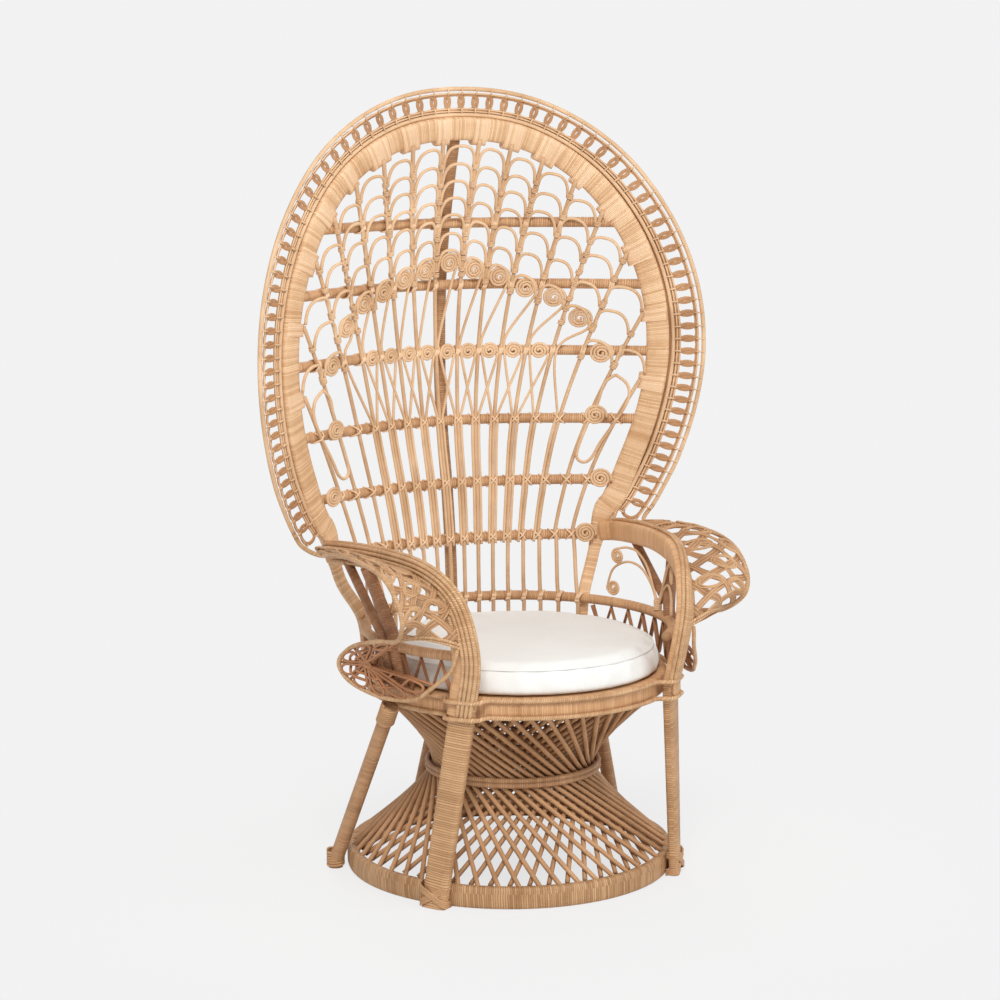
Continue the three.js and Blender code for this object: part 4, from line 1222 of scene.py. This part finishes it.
# Strips of five strands cross at a slant, each over and under the others.
def rollStrips(side):
    lines = []
    n, slant, strands = roll["strips"], roll["slant"], roll["strands"]
    for way in (-1, 1):
        for k in range(-3, n + 4):
            for strand in range(strands):
                shift = (strand - (strands - 1) / 2) * roll["strandGap"] / roll["length"]
                line = []
                for v in np.linspace(0, 1, 22):
                    u = (k + 0.5 + way * slant * (v - 0.5)) / n + shift
                    if 0 <= u <= 1:
                        phase = math.pi * (2 * k + way * 2 * slant * v)
                        line.append(rollPoint(side, u, v, way * roll["wave"] * math.cos(phase)))
                if len(line) > 4:
                    lines.append(line)
    return lines


def rollCurls(side):
    lines = []
    for u, v in roll["curls"]:
        for r in (roll["curlRadius"], roll["curlRadius"] + roll["curlGap"]):
            ring = [(u + r * math.cos(a) / roll["length"], v + r * math.sin(a) / roll["depth"])
                    for a in np.linspace(0, 2 * math.pi, 21)[:-1]]
            lines.append([rollPoint(side, *place, roll["curlLift"]) for place in ring])
    return lines


# A point of the rosette: share u round its loop, share v from its hub to the loop.
def rosettePoint(side, u, v, lift=0):
    rim = routePoint(arm["edge"], side, roll["edgeShare"] + (1 - roll["edgeShare"]) * u)
    hub = armPoint(*rosette["hub"], side)
    point = hub + (rim - hub) * v
    return point + facingOut(point) * lift


def rosetteLines(side):
    n = rosette["petals"]
    lines = []
    for i in range(n):
        u = i / (n - 1)
        lines.append([rosettePoint(side, u, v, -2) for v in np.linspace(0.05, 0.98, 8)])
        if i < n - 1:
            petal = [rosettePoint(side, u + a / (n - 1), v, 2) for a, v in rosette["petal"]]
            lines.append(smoothLine(petal, 4))
    shares = np.linspace(0, 1, 60)
    for v in rosette["rings"]:
        waves = [(u, rosette["ringWave"] * math.sin(math.pi * n * u)) for u in shares]
        lines.append([rosettePoint(side, u, v, wave) for u, wave in waves])
        lines.append([rosettePoint(side, u, v - rosette["ringInset"], -rosette["depth"]) for u in shares])
    hub = [rosettePoint(side, 0.999 * (k % 12) / 12, 0.02 + 0.11 * (1 - k / 48), 3) for k in range(48)]
    return lines + [hub]


def panelPoint(side, angle, rise):
    z = panel["low"] + (panel["high"] - panel["low"]) * rise
    return seatPolar(angle, panel["radius"], z) * [side, 1, 1]


def panelLines(side):
    lines = []
    degreesPerMm = math.degrees(1 / panel["radius"])
    tall = panel["high"] - panel["low"]
    for route, (angle, rise), start, way in panel["curls"]:
        line = [panelPoint(side, a, r) for a, r in route]
        steps = int(panel["turns"] * panel["steps"])
        for i in range(steps + 1):
            t = i / steps
            r = panel["coil"] - (panel["coil"] - panel["eye"]) * t
            a = math.radians(start) + way * 2 * math.pi * panel["turns"] * t
            x, y = r * math.cos(a), r * math.sin(a)
            line.append(panelPoint(side, angle + x * degreesPerMm, rise + y / tall))
        lines.append(smoothLine(line, 4))
    return lines


def frontFoot(side):
    return polar(arm["frontAngle"], base["radius"] + arm["thickness"] / 2 + arm["frontGap"], 0) * [side, 1, 1]


def buildArmBand(name, side):
    foot = frontFoot(side)
    top = [routePoint(arm["route"], side, t) for t in np.linspace(0, 1, 120)]
    inBand = np.array(arm["backEnd"]) * [side, 1, 1]
    line = evenly([inBand] + top + [top[-1] + (foot - top[-1]) * arm["intoLeg"]], 8)
    onPost = [within((i / len(line) - arm["postFrom"]) / arm["postOver"]) for i in range(len(line))]
    scales = [(1 + (arm["postShare"] - 1) * s, 1) for s in onPost]
    shifted = beside(line, facingOut, side * arm["postShift"], 0)
    moved = [a + (b - a) * s for a, b, s in zip(line, shifted, onPost)]
    band = layBands(f"armBand{name}", [moved], facingOut, roundedOutline(arm["width"], arm["thickness"]),
                    scales=scales)
    dress(band, "fineWrap", "wrapped_rattan", f"arm_frame_{name.lower()}")
    # Four canes lie along the band's upper and front edge.
    canes = [beside(line, facingOut, side * across, out) for across, out in arm["canes"]]
    # The back's trim goes on along the arm's top edge.
    across, out = arm["topCane"]
    trimEnd = borderPoint(side * border["reach"], border["trimOut"], border["trimForward"])
    canes.append(smoothLine([trimEnd] + beside(line, facingOut, side * across, out)[4::4], 6))
    # One more leaves the loop, turns up at the post and runs along the others.
    across, out = arm["loopCane"]
    fifth = [p for p in beside(line, facingOut, side * across, out)[9:] if p[1] > -200 or p[2] > 500]
    bend = [np.array([side * x, y, z]) for x, y, z in arm["loopEnd"]]
    loop = [routePoint(arm["edge"], side, arm["edgeEnd"] - t) for t in (0, 0.02, 0.05)]
    canes.append(smoothLine(fifth[::4] + bend + loop, 6))
    layCanes(f"armCanes{name}", canes, arm["caneRadius"], "caneWrap", "rattan_cane")
    shin = list(evenly([top[-1], foot + [0, 0, arm["legFoot"]]], 12)) + [foot]
    outline = roundedOutline(arm["legWidth"], arm["legThickness"], 0.55)
    dress(layBands(f"frontLeg{name}", [shin], facingOut, outline), "legWrap", "wrapped_rattan")


def buildRoll(name, side):
    low = name.lower()
    # The border's rim sweeps round at its foot and goes on as the roll's edge.
    reaches = [border["reach"] - back for back in (border["rimShort"], 1)]
    rimEnd = [borderPoint(side * reach, border["rimOut"]) for reach in reaches]
    edge = [routePoint(arm["edge"], side, t) for t in np.linspace(0, arm["edgeEnd"], 40)]
    sweep = (rimEnd[-1] + edge[0]) / 2 - [0, 0, arm["sweepDrop"]]
    edge = smoothLine(rimEnd + [sweep] + edge, 6)
    layCanes(f"rollEdge{name}", [edge], arm["edgeRadius"], "caneWrap", "rattan_cane", f"arm_roll_edge_{low}")
    strands = rollStrips(side)
    thin = roll["strandRadius"]
    strips = bendCanes("strips", strands[::2], thin, 6)
    # Every other strand takes the darker copy of the peel's colours, painted shade.
    layCanes(f"rollShaded{name}", strands[1::2], thin, "peelPaintedShade", "woven_rattan", sides=6)
    ends = [[rollPoint(side, u, v) for v in np.linspace(-0.02, 1, 20)] for u in roll["endCanes"]]
    layCanes(f"rollEnds{name}", ends, roll["endRadius"], "caneWrap", "woven_rattan")
    curls = bendCanes("curls", rollCurls(side), thin, 6, closed=True)
    weave = joinPieces(f"rollWeave{name}", [strips, curls])
    dress(weave, "peelStrip", "woven_rattan", f"arm_roll_weave_{low}")
    # The rosette's brown is painted shade under the roll.
    layCanes(f"rosette{name}", rosetteLines(side), rosette["strip"], "stripPaintedShade", "woven_rattan",
             f"arm_loop_web_{low}", sides=6)


def buildArmInside(name, side):
    low = name.lower()
    curls = bendCanes("curls", panelLines(side), panel["cane"])
    stem = [panelPoint(side, panel["stem"], rise) for rise in (-0.01, 0.2)]
    turns = bendCanes("turns", [boundTurns(*stem, *panel["stemTurns"])], panel["stemCane"], 6)
    dress(joinPieces(f"armPanel{name}", [curls, turns]), "cane", "rattan_cane", f"arm_panel_{low}")
    stands = []
    for route, thick in poles:
        stand = [seatPolar(*mark) * [side, 1, 1] for mark in route]
        stands.append(bendCanes("pole", [evenly(stand, 10)], thick, 10))
    # The poles' darker wrap paints their shade behind the arm.
    dress(joinPieces(f"armPoles{name}", stands), "poleWrapPaintedShade", "rattan_cane", f"arm_post_{low}")
    heights = [seatTop + lacing["low"], fan["seatRail"] - seatRail["radius"] - lacing["high"]]
    angles = np.linspace(lacing["from"], lacing["to"], lacing["points"])
    zigzag = [seatPolar(a, lacing["round"], heights[i % 2]) * [side, 1, 1] for i, a in enumerate(angles)]
    # The lacing shares the rosette's darker browns, which paint shade.
    layCanes(f"seatLacing{name}", [zigzag], lacing["radius"], "stripPaintedShade", "woven_rattan",
             f"seat_lacing_{low}")


for name, side in (("Right", 1), ("Left", -1)):
    buildArmBand(name, side)
    buildRoll(name, side)
    buildArmInside(name, side)
print("arms built")

# Bindings: crossed ties where the spokes pass the rails, turns of peel on knots, feet and leg tops

# A tie's marks are how far aside, or up, and how far out from the rail's or the spoke's middle.
tie = {
    "reach": 8.5, "rise": 9, "apart": 0.8, "lean": 3, "height": 11, "shifts": (-3, 0, 3), "cane": 1.7,
    "below": 40,
    "crossed": [(-0.1, -11), (-0.8, -8), (-1.2, 0), (-1.05, 9), (-0.4, 18.4), (0.4, 18.4), (1.05, 9),
                (1.2, 0), (0.8, -8), (0.1, -11)],
    "upright": [(-0.1, -11), (-0.8, -8), (-1.05, 2), (-0.8, 13), (0, 18.6), (0.8, 13), (1.05, 2), (0.8, -8),
                (0.1, -11)],
    "round": [(-5, 0), (-4, 5), (2, 9), (13, 11), (22, 8), (25, 0), (22, -8), (13, -11), (2, -9),
              (-4, -5), (-5, 0)],
}
knot = {"half": 4.5, "radius": 6, "pitch": 3, "steps": 8, "below": 8, "cane": 1.5}
feet = {"tall": 32, "over": 1.5, "pitch": 5, "steps": 20, "topShare": 0.1, "cane": 2.6, "low": 3}
strap = {"middle": 0.58, "rise": 0.36, "shifts": (-5, -1.7, 1.7, 5), "apart": 0.8, "cane": 1.9}


def crossTies():
    lines = []
    for k in spokes:
        for z in railHeights:
            x = spokeX(k, z)
            if z > spokeTop(k) - tie["below"]:
                continue
            if z in railHeights[3:]:
                for way in (-1, 1):
                    marks = [(way * s * tie["reach"], s * tie["rise"], out) for s, out in tie["crossed"]]
                    lines.append([onBack(x + a, z + up, out + way * tie["apart"]) for a, up, out in marks])
            else:
                for shift in tie["shifts"]:
                    lines.append([onBack(x + shift + s * tie["lean"], z + s * tie["height"], out)
                                  for s, out in tie["upright"]])
        # At the seat rail the turns go round the spoke and the rail together.
        low = spokePoint(k, fan["seatRail"])
        out = facingOut(low)
        across = np.cross(out, [0, 0, 1])
        for shift in tie["shifts"]:
            lines.append([low + out * o + across * (shift + h / 4) + [0, 0, h] for o, h in tie["round"]])
    return lines


def knotTurns():
    lines = []
    drop, lean = archShape["drop"], archShape["lean"]
    forward = fan["forward"] + archShape["forward"]
    for k in spokes:
        outer = [top - drop + lean for top in arches[min(abs(k), 7)]]
        inner = [top - drop - (lean if abs(k) > 1 else 0) for top in arches[abs(k) - 1]]
        for z in outer + inner:
            if z < spokeTop(k) - knot["below"]:
                ends = [spokePoint(k, z + s * knot["half"], forward) for s in (-1, 1)]
                lines.append(boundTurns(*ends, knot["radius"], knot["pitch"], knot["steps"]))
    return lines


def footTurns():
    tall = [0, 0, feet["tall"]]
    spans = []
    for side in ("right", "left"):
        low, top = legEnds(side, feet["low"])
        below = top + (low - top) * feet["topShare"]
        spans += [(low, low + tall, legs["radius"]), (below, top, legs["radius"])]
    low = spineFoot(feet["low"])
    spans.append((low, low + tall, legs["spineRadius"]))
    return [boundTurns(*ends, radius + feet["over"], feet["pitch"], feet["steps"]) for *ends, radius in spans]


# Crossed straps hold each front foot to the base hoop.
def footStraps():
    lines = []
    front = arm["legThickness"] / 2 + 2
    route = [(-1.12, -12), (-1.04, front - 5), (-0.8, front), (0.8, front), (1.04, front - 5), (1.12, -12)]
    for side in (-1, 1):
        place = frontFoot(side)
        out = place / np.linalg.norm(place)
        across = np.cross(out, [0, 0, 1]) * arm["legWidth"] / 2
        for way in (-1, 1):
            for shift in strap["shifts"]:
                line = []
                for s, o in route:
                    z = base["hoopHeight"] * (strap["middle"] + strap["rise"] * way * s) + shift
                    line.append(place + across * s + out * (o + strap["apart"] * way) + [0, 0, z])
                lines.append(line)
    return lines


layCanes("crossTies", crossTies(), tie["cane"], "tiePeel", "rattan_cane", sides=6)
layCanes("knotTurns", knotTurns(), knot["cane"], "cane", "rattan_cane", sides=6)
# The foot turns and straps take the cane colours darkened as painted shade.
layCanes("footTurns", footTurns(), feet["cane"], "caneInPaintedShade", "rattan_cane", sides=6)
layCanes("footStraps", footStraps(), strap["cane"], "caneInPaintedShade", "rattan_cane", sides=6)
print("bindings made")
